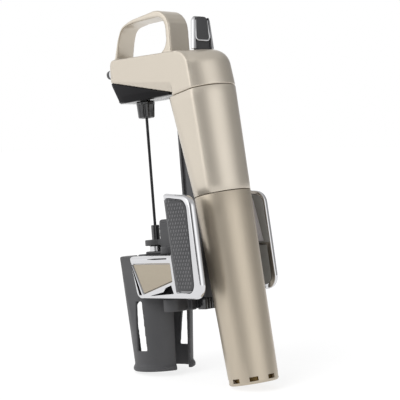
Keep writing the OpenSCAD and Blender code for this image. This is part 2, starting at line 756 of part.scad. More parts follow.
// Slide that carries the jaws, the roof over the sleeve and the needle's guide
module clamp_carriage() {
    front = -pin_back + 6.5;
    rear = groove_x - groove_w / 2 - 1;
    color(graphite) stand() difference() {
        union() {
            translate([rear, -carriage_half, carriage_z[0]])
                cube([front - rear, 2 * carriage_half, carriage_z[1] - carriage_z[0]]);
            translate([-rail_back + 2, -5.2, roof_z])
                cube([upright_x + rail_back - 2 - 1.5, 10.4, upright_top_z - roof_z - 2]);
            across(8) polygon(rounded([
                [-rail_back + 2, roof_z, 0], [upright_x, roof_z, 0],
                [upright_x, upright_top_z, 2.5], [-rail_back + 2, upright_top_z, 2.5]]));
            translate([0, 0, bracket_z[0]]) cylinder(h = bracket_z[1] - bracket_z[0], r = bracket_r);
            translate([-8, -4, bracket_z[0]]) cube([8, 8, bracket_z[1] - bracket_z[0]]);
            hull() {
                translate([0, 0, roof_z]) cylinder(h = roof_t, r = 7);
                translate([-pin_back + 4, -carriage_half, roof_z]) cube([4, 2 * carriage_half, roof_t]);
            }
            for (side = [-1, 1]) hull() {
                translate([-pin_back, side * pin_side, roof_z]) cylinder(h = roof_t + 3, r = knuckle_r);
                translate([-pin_back - 3, side * 4, roof_z]) cylinder(h = roof_t + 3, r = 3);
            }
            for (side = [-1, 1]) hull() {
                translate([-pin_back, side * pin_side, knuckle_z[0]])
                    cylinder(h = knuckle_z[1] - knuckle_z[0], r = knuckle_r + 0.8);
                translate([-pin_back - 3, side * 4, knuckle_z[0]])
                    cylinder(h = knuckle_z[1] - knuckle_z[0], r = 3);
            }
            translate([rear, -carriage_half, knuckle_z[0]])
                cube([front - rear, 2 * carriage_half, carriage_z[0] - knuckle_z[0] + 1]);
        }
        rail_channel();
        translate([0, 0, roof_z - 1]) cylinder(h = 60, r = guide_r + 0.05);
        translate([0, 0, roof_z - 1]) cylinder(h = bracket_z[0] - roof_z + 1, r = 4.5);
        for (side = [-1, 1])
            translate([-pin_back, side * pin_side, 0]) cylinder(h = 200, r = hinge_pin_r + 0.02);
    }
}

// Bush that leads the needle into the cork
module needle_guide() {
    color(black) stand() difference() {
        union() {
            translate([0, 0, bracket_z[0] - 0.5])
                cylinder(h = guide_top_z - bracket_z[0] + 0.5, r = guide_r);
            translate([0, 0, roof_z + 0.4]) cylinder(h = bracket_z[0] - roof_z - 0.4, r = 4.2);
        }
        translate([0, 0, roof_z - 1]) cylinder(h = 40, r = needle_r + run);
    }
}

module hinge_pins() {
    color(steel) stand() for (side = [-1, 1])
        translate([-pin_back, side * pin_side, knuckle_z[0] + 0.5])
            cylinder(h = roof_z + roof_t + 3 - knuckle_z[0] - 0.5, r = hinge_pin_r);
}

// Slippery pads that run in the rail's grooves
module slide_pads() {
    color(black) stand() for (side = [-1, 1], z = [carriage_z[0] + 3, carriage_z[1] - 13])
        translate([groove_x - groove_w / 2 + run,
                   side > 0 ? rail_w / 2 - groove_deep + run : -rail_w / 2 - run, z])
            cube([groove_w - 2 * run, groove_deep, 10]);
}

// ---------- jaws and arms (drawn for the left side) ----------

module wedge(a0, a1, z0, z1, r) {
    translate([0, 0, z0]) rotate([0, 0, a0]) rotate_extrude(angle = a1 - a0) square([r, z1 - z0]);
}

// Half of the neck sleeve: a skirt below, the part that grips the neck above, and the hinge behind
module jaw(side) {
    color(graphite) stand() on_side(side) difference() {
        union() {
            translate([skirt_x, 0, 0]) rotate([0, 0, front_gap]) rotate_extrude(angle = jaw_span - front_gap)
                polygon(rounded([
                    [4, 0, 0], [rim_r, 0, 1.2], [rim_r, 2.4, 1], [sleeve_r, 4.2, 2],
                    [sleeve_top_r, sleeve_h, 0.8], [4, sleeve_h, 0]], 4));
            // bridge from the sleeve to the hinge and the arm
            translate([0, 0, grip_z[0]]) linear_extrude(sleeve_h - grip_z[0])
                polygon([[-6, arm_y(-6) - arm_t - 0.02],
                         [-pin_back - 9, arm_y(-pin_back - 9) - arm_t - 0.02],
                         [-pin_back - knuckle_r, pin_side], [-pin_back, pin_side - knuckle_r],
                         [-16, 8], [-4, 17]]);
            translate([-pin_back, pin_side, grip_z[0] - 1])
                cylinder(h = sleeve_h - grip_z[0] + 1, r = knuckle_r);
        }
        // room for the neck, and for its shoulder inside the skirt
        translate([0, 0, -1]) cylinder(h = sleeve_h + 2, r = neck_r + 0.6);
        translate([skirt_x, 0, -1])
            cylinder(h = grip_z[0] - 4, r1 = sleeve_r - sleeve_wall,
                     r2 = sleeve_at(grip_z[0] - 5) - sleeve_wall);
        translate([skirt_x, 0, grip_z[0] - 5.01])
            cylinder(h = 5, r1 = sleeve_at(grip_z[0] - 5) - sleeve_wall, r2 = neck_r - skirt_x);
        // window in the skirt
        translate([0, 40, 0]) rotate([90, 0, 0]) linear_extrude(30) polygon([
            [-3.6, window_z[0]], [4.4, window_z[0]], [0.6, window_z[1]], [-4, window_z[1]]]);
        // the neck pad's seat
        wedge(front_gap + 10, jaw_span - 6, pad_z[0] - 0.05, pad_z[1] + 0.05, pad_r);
        translate([-pin_back, pin_side, 0]) cylinder(h = 200, r = hinge_pin_r + 0.05);
        // room for the carriage between the jaws
        translate([-80, -20, 0]) cube([80 - 19, 20 + carriage_half + run + 0.6, 200]);
        // the arm lies against the jaw
        on_arm(-10, 10 + arm_t) polygon([[20, 0], [-100, 0], [-100, 120], [20, 120]]);
    }
}

module neck_pad(side) {
    color(rubber) stand() on_side(side) difference() {
        wedge(front_gap + 10.2, jaw_span - 6.2, pad_z[0], pad_z[1], pad_r - 0.02);
        translate([0, 0, -1]) cylinder(h = 200, r = neck_r);
    }
}

function grip_corners(inset) = [
    [-43 - inset, grip_top_z - inset, 3],
    [-grip_rear + 4.2 + inset, grip_top_z - 2 - inset, 7],
    [-grip_rear - 1.4 + inset, grip_foot_z + inset, 7],
    [-48.6 - inset * 0.6, grip_foot_z + inset, 1],
    [-45 - inset, grip_foot_z + 30, 0]
];
function plate_corners(inset) = [
    [-0.2 - inset * 1.2, plate_top_z - inset, 1],
    [-50, plate_top_z - inset, 0],
    [-50, grip_foot_z + inset, 0],
    [-6.4 - inset * 0.6, grip_foot_z + inset, 5]
];

module chamfered(corners_out, corners_in, depth) {
    hull() {
        on_arm(1.2, depth - 1.2) polygon(corners_out);
        on_arm(0, 1) polygon(corners_in);
    }
}

function pad_corners(inset) = [
    [-45 - inset, grip_top_z - 3.4 - inset, 2],
    [-grip_rear + 8.6 + inset, grip_top_z - 4.6 - inset, 6],
    [-grip_rear + 6.8 + inset, grip_foot_z + 4.2 + inset, 5],
    [-51.6 - inset, grip_foot_z + 4.2 + inset, 1],
    [-47 - inset, grip_foot_z + 33, 0]
];
function badge_corners(inset) = [
    [-4 - inset * 1.3, plate_top_z - 4.6 - inset, 0],
    [-43.8 + inset, plate_top_z - 5 - inset, 0],
    [-44.6 + inset, grip_foot_z + 10.8 + inset * 0.8, 0],
    [-13.8 - inset * 0.5, grip_foot_z + 3.2 + inset * 1.2, 0.6]
];

module grip_frame(side) {
    color(chrome) stand() on_side(side) difference() {
        union() {
            chamfered(rounded(grip_corners(0)), rounded(grip_corners(1.1)), arm_t);
            chamfered(rounded(plate_corners(0)), rounded(plate_corners(1.1)), arm_t);
        }
        on_arm(-1, 1 + pocket) polygon(rounded(pad_corners(0)));
        on_arm(-1, 1 + plate_pocket) polygon(rounded(badge_corners(0)));
        // pocket under the badge plate's slanted edge
        on_arm(-1, 1 + 2.2) polygon([
            [-44.6, grip_foot_z + 9.8], [-45.2, grip_foot_z + 4], [-34.6, grip_foot_z + 5.4]]);
        // recess for the inner cover
        on_arm(arm_t - cover_t, cover_t + 1) polygon(rounded(inner_corners(0)));
    }
}

function inner_corners(inset) = [
    [-47 - inset, grip_foot_z + 27.5 - inset, 0],
    [-grip_rear + 4.6 + inset, grip_foot_z + 27.5 - inset, 0],
    [-grip_rear + 2.6 + inset, grip_foot_z + 3 + inset, 5],
    [-52.5 - inset, grip_foot_z + 3 + inset, 1]
];

// Soft pad with staggered slanted dimples
module grip_pad(side) {
    color(rubber) stand() on_side(side)
        on_arm(0.1, pocket - 0.1) polygon(rounded(pad_corners(0.25)));
}

module badge_plate(side) {
    color(champagne) stand() on_side(side)
        on_arm(0.2, plate_pocket - 0.2) polygon(rounded(badge_corners(0.25)));
}

module inner_cover(side) {
    color(graphite) stand() on_side(side)
        on_arm(arm_t - cover_t, cover_t) polygon(rounded(inner_corners(0.15)));
}

head_housing();
under_cover();
spout();
spout_mouth();
needle_socket();
gas_tube();
body_shell();
slide_rail();
rail_end();
rail_screws();
regulator();
cup_spigot();
regulator_seal();
piercing_pin();
valve_block();
trigger_pin();
trigger_lever();
trigger_insert();
valve_stem();
needle_knob();
needle();
knob_seal();
gas_cup();
capsule_liner();
gas_capsule();
clamp_carriage();
needle_guide();
hinge_pins();
slide_pads();
jaw("left");  // left_jaw
neck_pad("left");  // left_neck_pad
grip_frame("left");  // left_grip_frame
grip_pad("left");  // left_grip_pad
badge_plate("left");  // left_plate
inner_cover("left");  // left_inner_cover
jaw("right");  // right_jaw
neck_pad("right");  // right_neck_pad
grip_frame("right");  // right_grip_frame
grip_pad("right");  // right_grip_pad
badge_plate("right");  // right_plate
inner_cover("right");  // right_inner_cover
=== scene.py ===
"""Looks of a wine preservation dispenser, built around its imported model.

Every new piece is drawn in millimetres in the device's own frame, with the needle on the Z axis, +X towards
the spout and Z = 0 at the rim of the neck sleeve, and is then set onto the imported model, in metres.
"""

import json
from math import acos, atan2, cos, pi, radians, sin, tan

import bpy
from bpy.props import FloatProperty, FloatVectorProperty, PointerProperty
from mathutils import Matrix, Vector

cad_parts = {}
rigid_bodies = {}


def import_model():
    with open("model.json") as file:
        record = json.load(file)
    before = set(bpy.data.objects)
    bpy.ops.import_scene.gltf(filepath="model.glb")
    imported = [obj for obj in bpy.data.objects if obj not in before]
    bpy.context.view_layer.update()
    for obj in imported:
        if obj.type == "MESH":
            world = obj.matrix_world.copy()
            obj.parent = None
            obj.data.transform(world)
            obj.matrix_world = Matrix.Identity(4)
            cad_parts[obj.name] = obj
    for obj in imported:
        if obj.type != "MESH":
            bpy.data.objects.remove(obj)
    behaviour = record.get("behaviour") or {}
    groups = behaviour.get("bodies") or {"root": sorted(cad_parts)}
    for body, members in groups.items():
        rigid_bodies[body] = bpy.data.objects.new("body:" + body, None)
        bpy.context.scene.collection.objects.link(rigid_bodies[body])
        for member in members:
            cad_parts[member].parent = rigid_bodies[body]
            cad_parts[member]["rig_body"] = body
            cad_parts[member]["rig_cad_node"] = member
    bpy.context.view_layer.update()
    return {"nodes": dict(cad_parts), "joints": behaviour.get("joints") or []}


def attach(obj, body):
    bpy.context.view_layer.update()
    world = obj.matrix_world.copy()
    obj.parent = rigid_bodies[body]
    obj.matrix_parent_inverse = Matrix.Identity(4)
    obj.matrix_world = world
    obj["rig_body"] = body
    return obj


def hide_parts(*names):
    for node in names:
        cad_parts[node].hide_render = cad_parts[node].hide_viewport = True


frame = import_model()

bl_info = {
    "name": "Wine preservation dispenser",
    "version": (1, 0, 0),
    "blender": (4, 5, 0),
    "location": "3D View > Sidebar > Dispenser",
    "description": "Builds the detailed pieces, finishes and studio of a dispenser around its packed model",
    "category": "Add Mesh",
}

MM = 0.001
WELD = 0.002 * MM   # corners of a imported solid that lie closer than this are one


def rgb(code):
    """An sRGB hex colour as the linear values that Blender's sockets take."""
    parts = [int(code[i:i + 2], 16) / 255 for i in (0, 2, 4)]
    return tuple(v / 12.92 if v <= 0.04045 else ((v + 0.055) / 1.055) ** 2.4 for v in parts)


# ---------- where things stand ----------

JOINTS = {joint["name"]: joint for joint in frame["joints"]}
HEAD_Z = 168.0      # underside of the head, where the needle's joint is stated
NEEDLE_UP = Vector(JOINTS["clamp_slide"]["axis"])
NEEDLE_TOP = Vector(JOINTS["needle_turn"]["pos_m"])
CUP_DOWN = Vector(JOINTS["cup_drop"]["axis"])
CUP_JOINT = Vector(JOINTS["cup_turn"]["pos_m"])

# the device's frame, and the barrel's with its zero at the cup's joint, both from millimetres to metres
DEVICE = (Matrix.Translation(NEEDLE_TOP - NEEDLE_UP * HEAD_Z * MM)
          @ Matrix.Rotation(atan2(NEEDLE_UP.x, NEEDLE_UP.z), 4, "Y") @ Matrix.Scale(MM, 4))
BARREL = (Matrix.Translation(CUP_JOINT)
          @ Matrix.Rotation(atan2(-CUP_DOWN.x, -CUP_DOWN.z), 4, "Y") @ Matrix.Scale(MM, 4))
# the left arm: X as the device's, Y = 0 on its outer face and falling inwards, Z up
ARM_X = 2
ARM_HALF_W = 24.4   # from the needle to the outer face, at ARM_X
ARM_ANGLE = 7.3155  # by which that face comes in towards the front
ARM = (DEVICE @ Matrix.Translation((ARM_X, ARM_HALF_W, 0))
       @ Matrix.Rotation(radians(-ARM_ANGLE), 4, "Z") @ Matrix.Translation((-ARM_X, 0, 0)))
TO_RIGHT = DEVICE @ Matrix.Scale(-1, 4, (0, 1, 0)) @ DEVICE.inverted()


# ---------- modelling ----------

def deselect():
    """Leaves edit mode and empties the selection, because an operator acts on all that is selected."""
    if bpy.context.object and bpy.context.object.mode != "OBJECT":
        bpy.ops.object.mode_set(mode="OBJECT")
    bpy.ops.object.select_all(action="DESELECT")


def work_on(piece):
    """Makes a piece the only selected one."""
    deselect()
    piece.select_set(True)
    bpy.context.view_layer.objects.active = piece


def edit(piece, what="SELECT"):
    """Opens a piece in edit mode, with all of it selected or none of it."""
    work_on(piece)
    bpy.ops.object.mode_set(mode="EDIT")
    bpy.ops.mesh.select_mode(type="VERT")
    bpy.ops.mesh.select_all(action=what)


def named(name):
    """The object that an operator has just added, under its own name."""
    piece = bpy.context.object
    piece.name = piece.data.name = name
    return piece


def rounded(corners, steps=6):
    """An outline whose corners, given as (x, y, radius), are rounded with arcs."""
    points = []
    for i, (x, y, r) in enumerate(corners):
        here = Vector((x, y))
        if not r:
            points.append(tuple(here))
            continue
        u = (Vector(corners[i - 1][:2]) - here).normalized()
        v = (Vector(corners[(i + 1) % len(corners)][:2]) - here).normalized()
        half = acos(max(-1, min(1, u.dot(v)))) / 2
        centre = here + (u + v).normalized() * r / sin(half)
        first = here + u * r / tan(half) - centre
        last = here + v * r / tan(half) - centre
        start = atan2(first.y, first.x)
        turn = (atan2(last.y, last.x) - start + pi) % (2 * pi) - pi
        for k in range(steps + 1):
            angle = start + turn * k / steps
            points.append((centre.x + r * cos(angle), centre.y + r * sin(angle)))
    return points


def inset(corners, d):
    """The corners of an outline moved inwards by d: outer corners get sharper and inner ones rounder."""
    points = [Vector(corner[:2]) for corner in corners]
    turn = sum(a.cross(b) for a, b in zip(points, points[1:] + points[:1]))
    side = 1 if turn > 0 else -1
    moved = []
    for i, (_, _, r) in enumerate(corners):
        before = (points[i] - points[i - 1]).normalized()
        after = (points[(i + 1) % len(points)] - points[i]).normalized()
        n1, n2 = (side * Vector((-v.y, v.x)) for v in (before, after))
        at = points[i] + (n1 + n2) * d / (1 + n1.dot(n2))
        r = r - d if side * before.cross(after) > 0 else r + d
        moved.append((at.x, at.y, max(0.03, r)))
    return moved


def sheet_of(name, points, fill="NGON"):
    """A flat ring or face, from a circle whose corners are moved to the given points."""
    deselect()
    bpy.ops.mesh.primitive_circle_add(vertices=len(points), radius=1, fill_type=fill)
    piece = named(name)
    for corner, point in zip(piece.data.vertices, points):
        corner.co = point
    return piece


def apply_modifiers(piece):
    """Applies a piece's modifiers in their order."""
    work_on(piece)
    for modifier in list(piece.modifiers):
        bpy.ops.object.modifier_apply(modifier=modifier.name)


def outwards(piece):
    """Merges the doubles of a piece drawn in millimetres and points every face outwards."""
    edit(piece)
    bpy.ops.mesh.remove_doubles(threshold=0.0005)
    bpy.ops.mesh.normals_make_consistent(inside=False)
    bpy.ops.object.mode_set(mode="OBJECT")


def lie(plane, points, depth):
    """Points of an outline laid at a depth: behind the XZ plane, or in front of the YZ plane."""
    if plane == "XZ":
        return [(x, -depth, z) for x, z in points]
    return [(depth, y, z) for y, z in points]


def cushion(name, corners, depth, edges, plane="XZ", steps=6):
    """A plate between two depths, its rims rounded to the two radii in edges. A radius below 0 flares out."""
    rings = []
    for r, at, way in ((edges[0], depth[0], 1), (edges[1], depth[1], -1)):
        angles = (0, 22.5, 45, 67.5, 90)
        if r < 0:
            level = [(r, 0), (0, -r)]
        elif r:
            level = [(r * (1 - sin(radians(a))), r * (1 - cos(radians(a)))) for a in angles]
        else:
            level = [(0, 0)]
        rings += [(move, at + way * d) for move, d in level][::way]
    return stacked(name, [lie(plane, rounded(inset(corners, move), steps), d) for move, d in rings])


def turned(name, profile, steps=64):
    """A turned piece: a closed profile of (radius, height) spun round the Z axis."""
    piece = sheet_of(name, [(r, 0, z) for r, z in profile], "NOTHING")
    edit(piece, "DESELECT")
    bpy.ops.object.mode_set(mode="OBJECT")
    # an edge along the axis would stay inside the solid
    for edge in piece.data.edges:
        edge.select = all(piece.data.vertices[v].co.x < 0.001 for v in edge.vertices)
    if any(edge.select for edge in piece.data.edges):
        bpy.ops.object.mode_set(mode="EDIT")
        bpy.ops.mesh.select_mode(type="EDGE")
        bpy.ops.mesh.delete(type="EDGE_FACE")
        bpy.ops.object.mode_set(mode="OBJECT")
    edit(piece)
    bpy.ops.mesh.spin(steps=steps, angle=2 * pi, center=(0, 0, 0), axis=(0, 0, 1))
    outwards(piece)
    return piece


def stacked(name, rings):
    """Closed walls through rings of points that all have the same count, with a face over each end."""
    count = len(rings[0])
    piece = sheet_of(name, rings[0])
    for ring in rings[1:]:
        edit(piece, "DESELECT")
        bpy.ops.object.mode_set(mode="OBJECT")
        for corner in piece.data.vertices[-count:]:
            corner.select = True
        bpy.ops.object.mode_set(mode="EDIT")
        bpy.ops.mesh.extrude_region_move(TRANSFORM_OT_translate={"value": (0, 0, 0)})
        bpy.ops.object.mode_set(mode="OBJECT")
        for corner, point in zip(piece.data.vertices[-count:], ring):
            corner.co = point
    outwards(piece)
    return piece


def tube(name, path, r, normal):
    """A round bar along a path that lies in the plane of the given normal, with blunt ends."""
    path = [Vector(p) for p in path]
    sides = 12

    def tip(end, before, ring):
        centre = end + (end - before).normalized() * r * 0.6
        return [centre + (corner - centre) * 0.5 for corner in ring]

    rings = []
    for i, p in enumerate(path):
        along = (path[min(i + 1, len(path) - 1)] - path[max(i - 1, 0)]).normalized()
        across = along.cross(normal)
        rings.append([p + r * (cos(2 * pi * k / sides) * normal + sin(2 * pi * k / sides) * across)
                      for k in range(sides)])
    first, last = tip(path[0], path[1], rings[0]), tip(path[-1], path[-2], rings[-1])
    return stacked(name, [first] + rings + [last])


def cut(piece, *tools, way="DIFFERENCE"):
    """Cuts tools out of a piece, or joins them to it, and clears the tools away."""
    for tool in tools:
        boolean = piece.modifiers.new("Cut", "BOOLEAN")
        boolean.operation, boolean.solver, boolean.object = way, "EXACT", tool
        apply_modifiers(piece)
        bpy.data.objects.remove(tool)
    return piece


def copy_of(source, name):
    """A copy of an object with its own mesh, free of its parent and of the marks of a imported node."""
    piece = source.copy()
    piece.data = source.data.copy()
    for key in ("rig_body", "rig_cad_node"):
        if key in piece:
            del piece[key]
    piece.parent = None
    piece.name = piece.data.name = name
    bpy.context.scene.collection.objects.link(piece)
    return piece


def moulded(node, name, voxel, rounds, *additions):
    """A moulded piece with the soft edges of its mould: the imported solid, remeshed evenly and smoothed.

    voxel is the mesh size. Additions become one skin with the solid. Both are in the device's millimetres."""
    piece = copy_of(frame["nodes"][node], name)
    piece.data.materials.clear()
    deselect()
    for addition in additions:
        addition.data.transform(DEVICE)
        addition.select_set(True)
    piece.select_set(True)
    bpy.context.view_layer.objects.active = piece
    if additions:
        bpy.ops.object.join()
    edit(piece)
    bpy.ops.mesh.remove_doubles(threshold=WELD)
    bpy.ops.object.mode_set(mode="OBJECT")
    solid = copy_of(piece, "solid")
    remesh = piece.modifiers.new("Even", "REMESH")
    remesh.mode, remesh.voxel_size = "VOXEL", voxel * MM
    # an even mesh is wavy on faces that lean, so it is laid back on them
    flat = piece.modifiers.new("Flat", "SHRINKWRAP")
    flat.wrap_method, flat.target = "NEAREST_SURFACEPOINT", solid
    smooth = piece.modifiers.new("Soft", "SMOOTH")
    smooth.factor, smooth.iterations = 0.5, rounds
    apply_modifiers(piece)
    bpy.data.objects.remove(solid)
    work_on(piece)
    bpy.ops.object.shade_smooth()
    return piece


def edged(node, name, edge):
    """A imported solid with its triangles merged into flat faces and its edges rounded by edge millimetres."""
    piece = copy_of(frame["nodes"][node], name)
    piece.data.materials.clear()
    edit(piece)
    bpy.ops.mesh.remove_doubles(threshold=WELD)
    bpy.ops.mesh.dissolve_limited(angle_limit=radians(2))
    bpy.ops.object.mode_set(mode="OBJECT")
    piece.data.transform(Matrix.Scale(1 / MM, 4))
    bevel = piece.modifiers.new("Edges", "BEVEL")
    bevel.width, bevel.segments, bevel.limit_method = edge, 2, "ANGLE"
    bevel.angle_limit = radians(40)
    bevel.use_clamp_overlap = True
    bevel.miter_outer = "MITER_ARC"
    apply_modifiers(piece)
    return place(piece, Matrix.Scale(MM, 4))


def reshape(piece, rule):
    """Moves every vertex of a placed piece by a rule that is stated in the device's millimetres."""
    piece.data.transform(DEVICE.inverted())
    for corner in piece.data.vertices:
        corner.co = rule(corner.co)
    piece.data.transform(DEVICE)
    piece.data.update()


def place(piece, where, angle=35):
    """Puts a piece drawn in millimetres onto the model, in its mesh, and shades it smooth up to an angle."""
    piece.data.transform(where)
    piece.data.update()
    work_on(piece)
    bpy.ops.object.shade_smooth_by_angle(angle=radians(angle))
    return piece


def other_side(piece, name):
    """The right-hand copy of a left-hand piece."""
    copy = copy_of(piece, name)
    copy.data.transform(TO_RIGHT)
    copy.data.flip_normals()
    return copy


def finish_piece(piece, body, slot, finish, *replaced):
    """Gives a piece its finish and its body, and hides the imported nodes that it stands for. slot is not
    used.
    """
    piece.data.materials.clear()
    piece.data.materials.append(finishes()[finish])
    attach(piece, body)
    if replaced:
        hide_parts(*replaced)


def sizes():
    """The sizes, in metres, and light levels that a user may change."""
    return bpy.context.scene.dispenser_sizes


def colours():
    """The colours that a user may change."""
    return bpy.context.scene.dispenser_colours


# ---------- finishes ----------

def add(tree, kind, settings=None, **links):
    """Adds a node. Settings go to its properties or, by name or number, its inputs. Links feed its inputs.

    A link's name is that of the input, with _ for a space, or _ and the input's number."""
    node = tree.nodes.new("ShaderNode" + kind)
    for key, value in (settings or {}).items():
        if isinstance(key, str) and hasattr(node, key):
            setattr(node, key, value)
        else:
            node.inputs[key].default_value = value
    for key, source in links.items():
        target = int(key[1:]) if key[0] == "_" and key[1:].isdigit() else key.replace("_", " ")
        tree.links.new(source, node.inputs[target])
    return node


def principled(name, colour, metallic, roughness, **sockets):
    """A new material with its Principled shader, set to even values."""
    material = bpy.data.materials.new(name)
    material.use_nodes = True
    material.diffuse_color = (*colour, 1)
    shader = material.node_tree.nodes["Principled BSDF"]
    values = {"Base Color": (*colour, 1), "Metallic": metallic, "Roughness": roughness}
    values.update({key.replace("_", " "): value for key, value in sockets.items()})
    for key, value in values.items():
        shader.inputs[key].default_value = value
    return material, material.node_tree, shader


def grained(name, colour, metallic, roughness, grain_mm, tone, rough, bump, stretch=(1, 1, 1),
            turn=(0, 0, 0), **sockets):
    """A finish with an even grain: it shifts the tone and the gloss a little and lifts the surface.

    grain_mm is the size of one grain and bump its height. A stretch below 1 makes grains longer along X, Y or
    Z, and turn sets those axes. tone is the share by which colour varies, and rough what roughness varies by.
    """
    material, tree, shader = principled(name, colour, metallic, roughness, **sockets)
    spot = add(tree, "TexCoord").outputs["Object"]
    spot = add(tree, "Mapping", {"Rotation": turn, "Scale": stretch}, Vector=spot).outputs[0]
    grain = add(tree, "TexNoise", {"Scale": 1 / (grain_mm * MM), "Detail": 3.0, "Roughness": 0.55},
                Vector=spot)
    # patches of 14 mm, about a fingertip, where handling has changed the gloss
    broad = add(tree, "TexNoise", {"Scale": 1 / (14 * MM), "Detail": 2.0}, Vector=spot)
    darker = tuple(c * (1 - tone) for c in colour)
    lighter = tuple(min(1, c * (1 + tone)) for c in colour)
    # a Mix node's colours are its inputs 6 and 7 and its output 2
    mixed = add(tree, "Mix", {"data_type": "RGBA", 6: (*darker, 1), 7: (*lighter, 1)},
                Factor=grain.outputs["Fac"])
    tree.links.new(mixed.outputs[2], shader.inputs["Base Color"])
    gloss = add(tree, "MapRange", {"From Min": 0.3, "From Max": 0.7, "To Min": max(0.02, roughness - rough),
                                   "To Max": min(1, roughness + rough)}, Value=broad.outputs["Fac"])
    tree.links.new(gloss.outputs[0], shader.inputs["Roughness"])
    if bump:
        relief = add(tree, "Bump", {"Strength": 1.0, "Distance": bump * MM}, Height=grain.outputs["Fac"])
        tree.links.new(relief.outputs[0], shader.inputs["Normal"])
    return material


FINISHES = {}


def finishes():
    """Every finish, made once."""
    if FINISHES:
        return FINISHES
    c = colours()
    barrel_turn = (0, -atan2(-CUP_DOWN.x, -CUP_DOWN.z), 0)
    # A pixel of the photograph's view is about 0.6 mm wide. A grain that is finer than that on the real thing
    # is drawn 0.5 to 0.8 mm wide, so that it shows, and its comment gives the real size.
    FINISHES.update({
        # Metallic lacquer on moulded ABS, sprayed: flakes of 0.05 mm under a clear coat give a soft sheen and
        # no mirror. Its roughness stays above 0.28, where the render's noise filter changes and leaves rings
        "lacquer": grained("champagne metallic lacquer on ABS", c.champagne, 0.62, 0.31, 0.6, 0.012, 0.02,
                           0.001, Coat_Weight=0.1, Coat_Roughness=0.2),
        # Anodised aluminium tube, drawn and satin blasted: long faint streaks 2 mm apart run down the cup
        "anodised": grained("champagne anodised aluminium, drawn", c.cup, 0.68, 0.35, 2.2, 0.04, 0.04, 0.004,
                            stretch=(1, 1, 0.03), turn=barrel_turn),
        # Anodised aluminium plate, brushed from front to back: hairlines of 0.1 mm, duller than the cup
        "plate": grained("champagne anodised aluminium, brushed", c.plate, 0.6, 0.42, 0.5, 0.05, 0.06, 0.006,
                         stretch=(0.05, 1, 1)),
        # Bright chromium plate over polished ABS: a mirror that is broken only by faint wiping marks
        "chrome": grained("bright chrome plate", c.chrome, 1.0, 0.09, 1.6, 0.01, 0.03, 0),
        # Glass-filled nylon from a mould with a spark-eroded grain of 0.1 mm: dark satin, paler at its edges
        "nylon": grained("graphite glass-filled nylon", c.graphite, 0.0, 0.5, 0.5, 0.06, 0.08, 0.02),
        # ABS of the arms' linings, from a polished mould with a grain of 0.1 mm: mid grey with a soft shine
        "lining": grained("grey moulded ABS", rgb("969694"), 0.0, 0.34, 0.6, 0.04, 0.05, 0.004),
        # Chromium plate over ABS blasted with 0.05 mm grit: pale and silky, its reflections spread out wide
        "satin": grained("satin chrome plate", rgb("f0eef5"), 0.2, 0.4, 0.6, 0.02, 0.05, 0.004),
        # Acetal as it comes from the mould, with flow marks of 0.7 mm: black satin with a soft highlight
        "acetal": grained("black acetal", rgb("1e1e20"), 0.0, 0.2, 0.7, 0.05, 0.06, 0.004,
                          Specular_IOR_Level=0.9),
        # Unlit gap between mouldings: matt black
        "void": grained("shadowed black moulding", rgb("0b0b0c"), 0.0, 0.8, 0.7, 0.05, 0.05, 0.01,
                        Specular_IOR_Level=0.1),
        # Polished black polycarbonate: deep black with sharp reflections
        "gloss": grained("polished black polycarbonate", rgb("100f12"), 0.0, 0.12, 2.5, 0.05, 0.03, 0,
                         Specular_IOR_Level=0.12),
        # Thermoplastic rubber, moulded over the frames with a grain of 0.1 mm: matt and a little dusty
        "rubber": grained("dark grey thermoplastic rubber", c.rubber, 0.0, 0.62, 0.5, 0.07, 0.08, 0.03,
                          Sheen_Weight=0.1, Sheen_Roughness=0.5),
        # The same rubber on the studs, paler and a little shiny: the paler tone is a painted highlight where
        # their tops catch the light
        "studs": grained("dark grey thermoplastic rubber, rubbed", rgb("68686a"), 0.0, 0.45, 0.5, 0.05, 0.06,
                         0.02),
        # Low-friction coat baked on ground steel: near black, with a narrow highlight down the needle
        "coat": grained("black fluoropolymer coat on steel", rgb("17171a"), 0.2, 0.34, 1.5, 0.05, 0.05, 0.002,
                        stretch=(1, 1, 0.1)),
        # Turned brass with tool lines of 0.1 mm, seen only through gaps: dull warm metal, darkened brown as
        # painted shade
        "brass": grained("turned brass, painted shade", rgb("5c4b2e"), 1.0, 0.3, 0.6, 0.05, 0.06, 0.004,
                         stretch=(0.1, 0.1, 1)),
        # Ground stainless steel of the pins, screws and pipes: grey metal with fine lines of 0.1 mm along it
        "steel": grained("ground stainless steel", rgb("a8aaad"), 1.0, 0.34, 0.6, 0.04, 0.05, 0.003,
                         stretch=(1, 1, 0.1)),
        # Light alloy of regulator, valve and capsule, turned with tool lines of 0.1 mm: pale, a little dull
        "alloy": grained("turned light alloy", rgb("b4b6ba"), 1.0, 0.34, 0.8, 0.04, 0.06, 0.003,
                         stretch=(0.1, 0.1, 1)),
    })
    return FINISHES


# ---------- pieces on the body ----------

TILT = 0.11599              # narrowing of the head's and barrel's flat sides towards the front
FLAT_X = -58.87             # where the head's flat sides end towards the back
FLAT_HALF_W = 17.6          # half the head's width there
TOP_Z = 193.06              # top of the head under the trigger
TRIGGER_X = -54.6           # the trigger's pin
TRIGGER_Z = 188.06
SPOUT_Z = 189.3             # the nozzle's axis
LOOP_BEND = (9.2, 217.2)    # middle of the handle loop's front upper bend, as x and z
BARREL_L = 63.4             # the barrel's length
BARREL_CORNERS = 144        # corners of each of its rings


def step(t):
    """0 up to 0, 1 from 1 on, and a smooth rise between."""
    t = min(1, max(0, t))
    return t * t * (3 - 2 * t)


def flat_at(x):
    """Half width of the head's flat sides."""
    return FLAT_HALF_W - (x - FLAT_X) * TILT


def top_at(x):
    """Height of the head's top line."""
    return 197 + (x - 17) * 0.055


def fold_line(x):
    """Height of the crease along the nose's flat sides."""
    return 180.4 + 0.131 * x


def cover_line(x):
    """Height of the line between the head and the cover under its nose."""
    return 168.78 + (x + 40.37) * 0.22


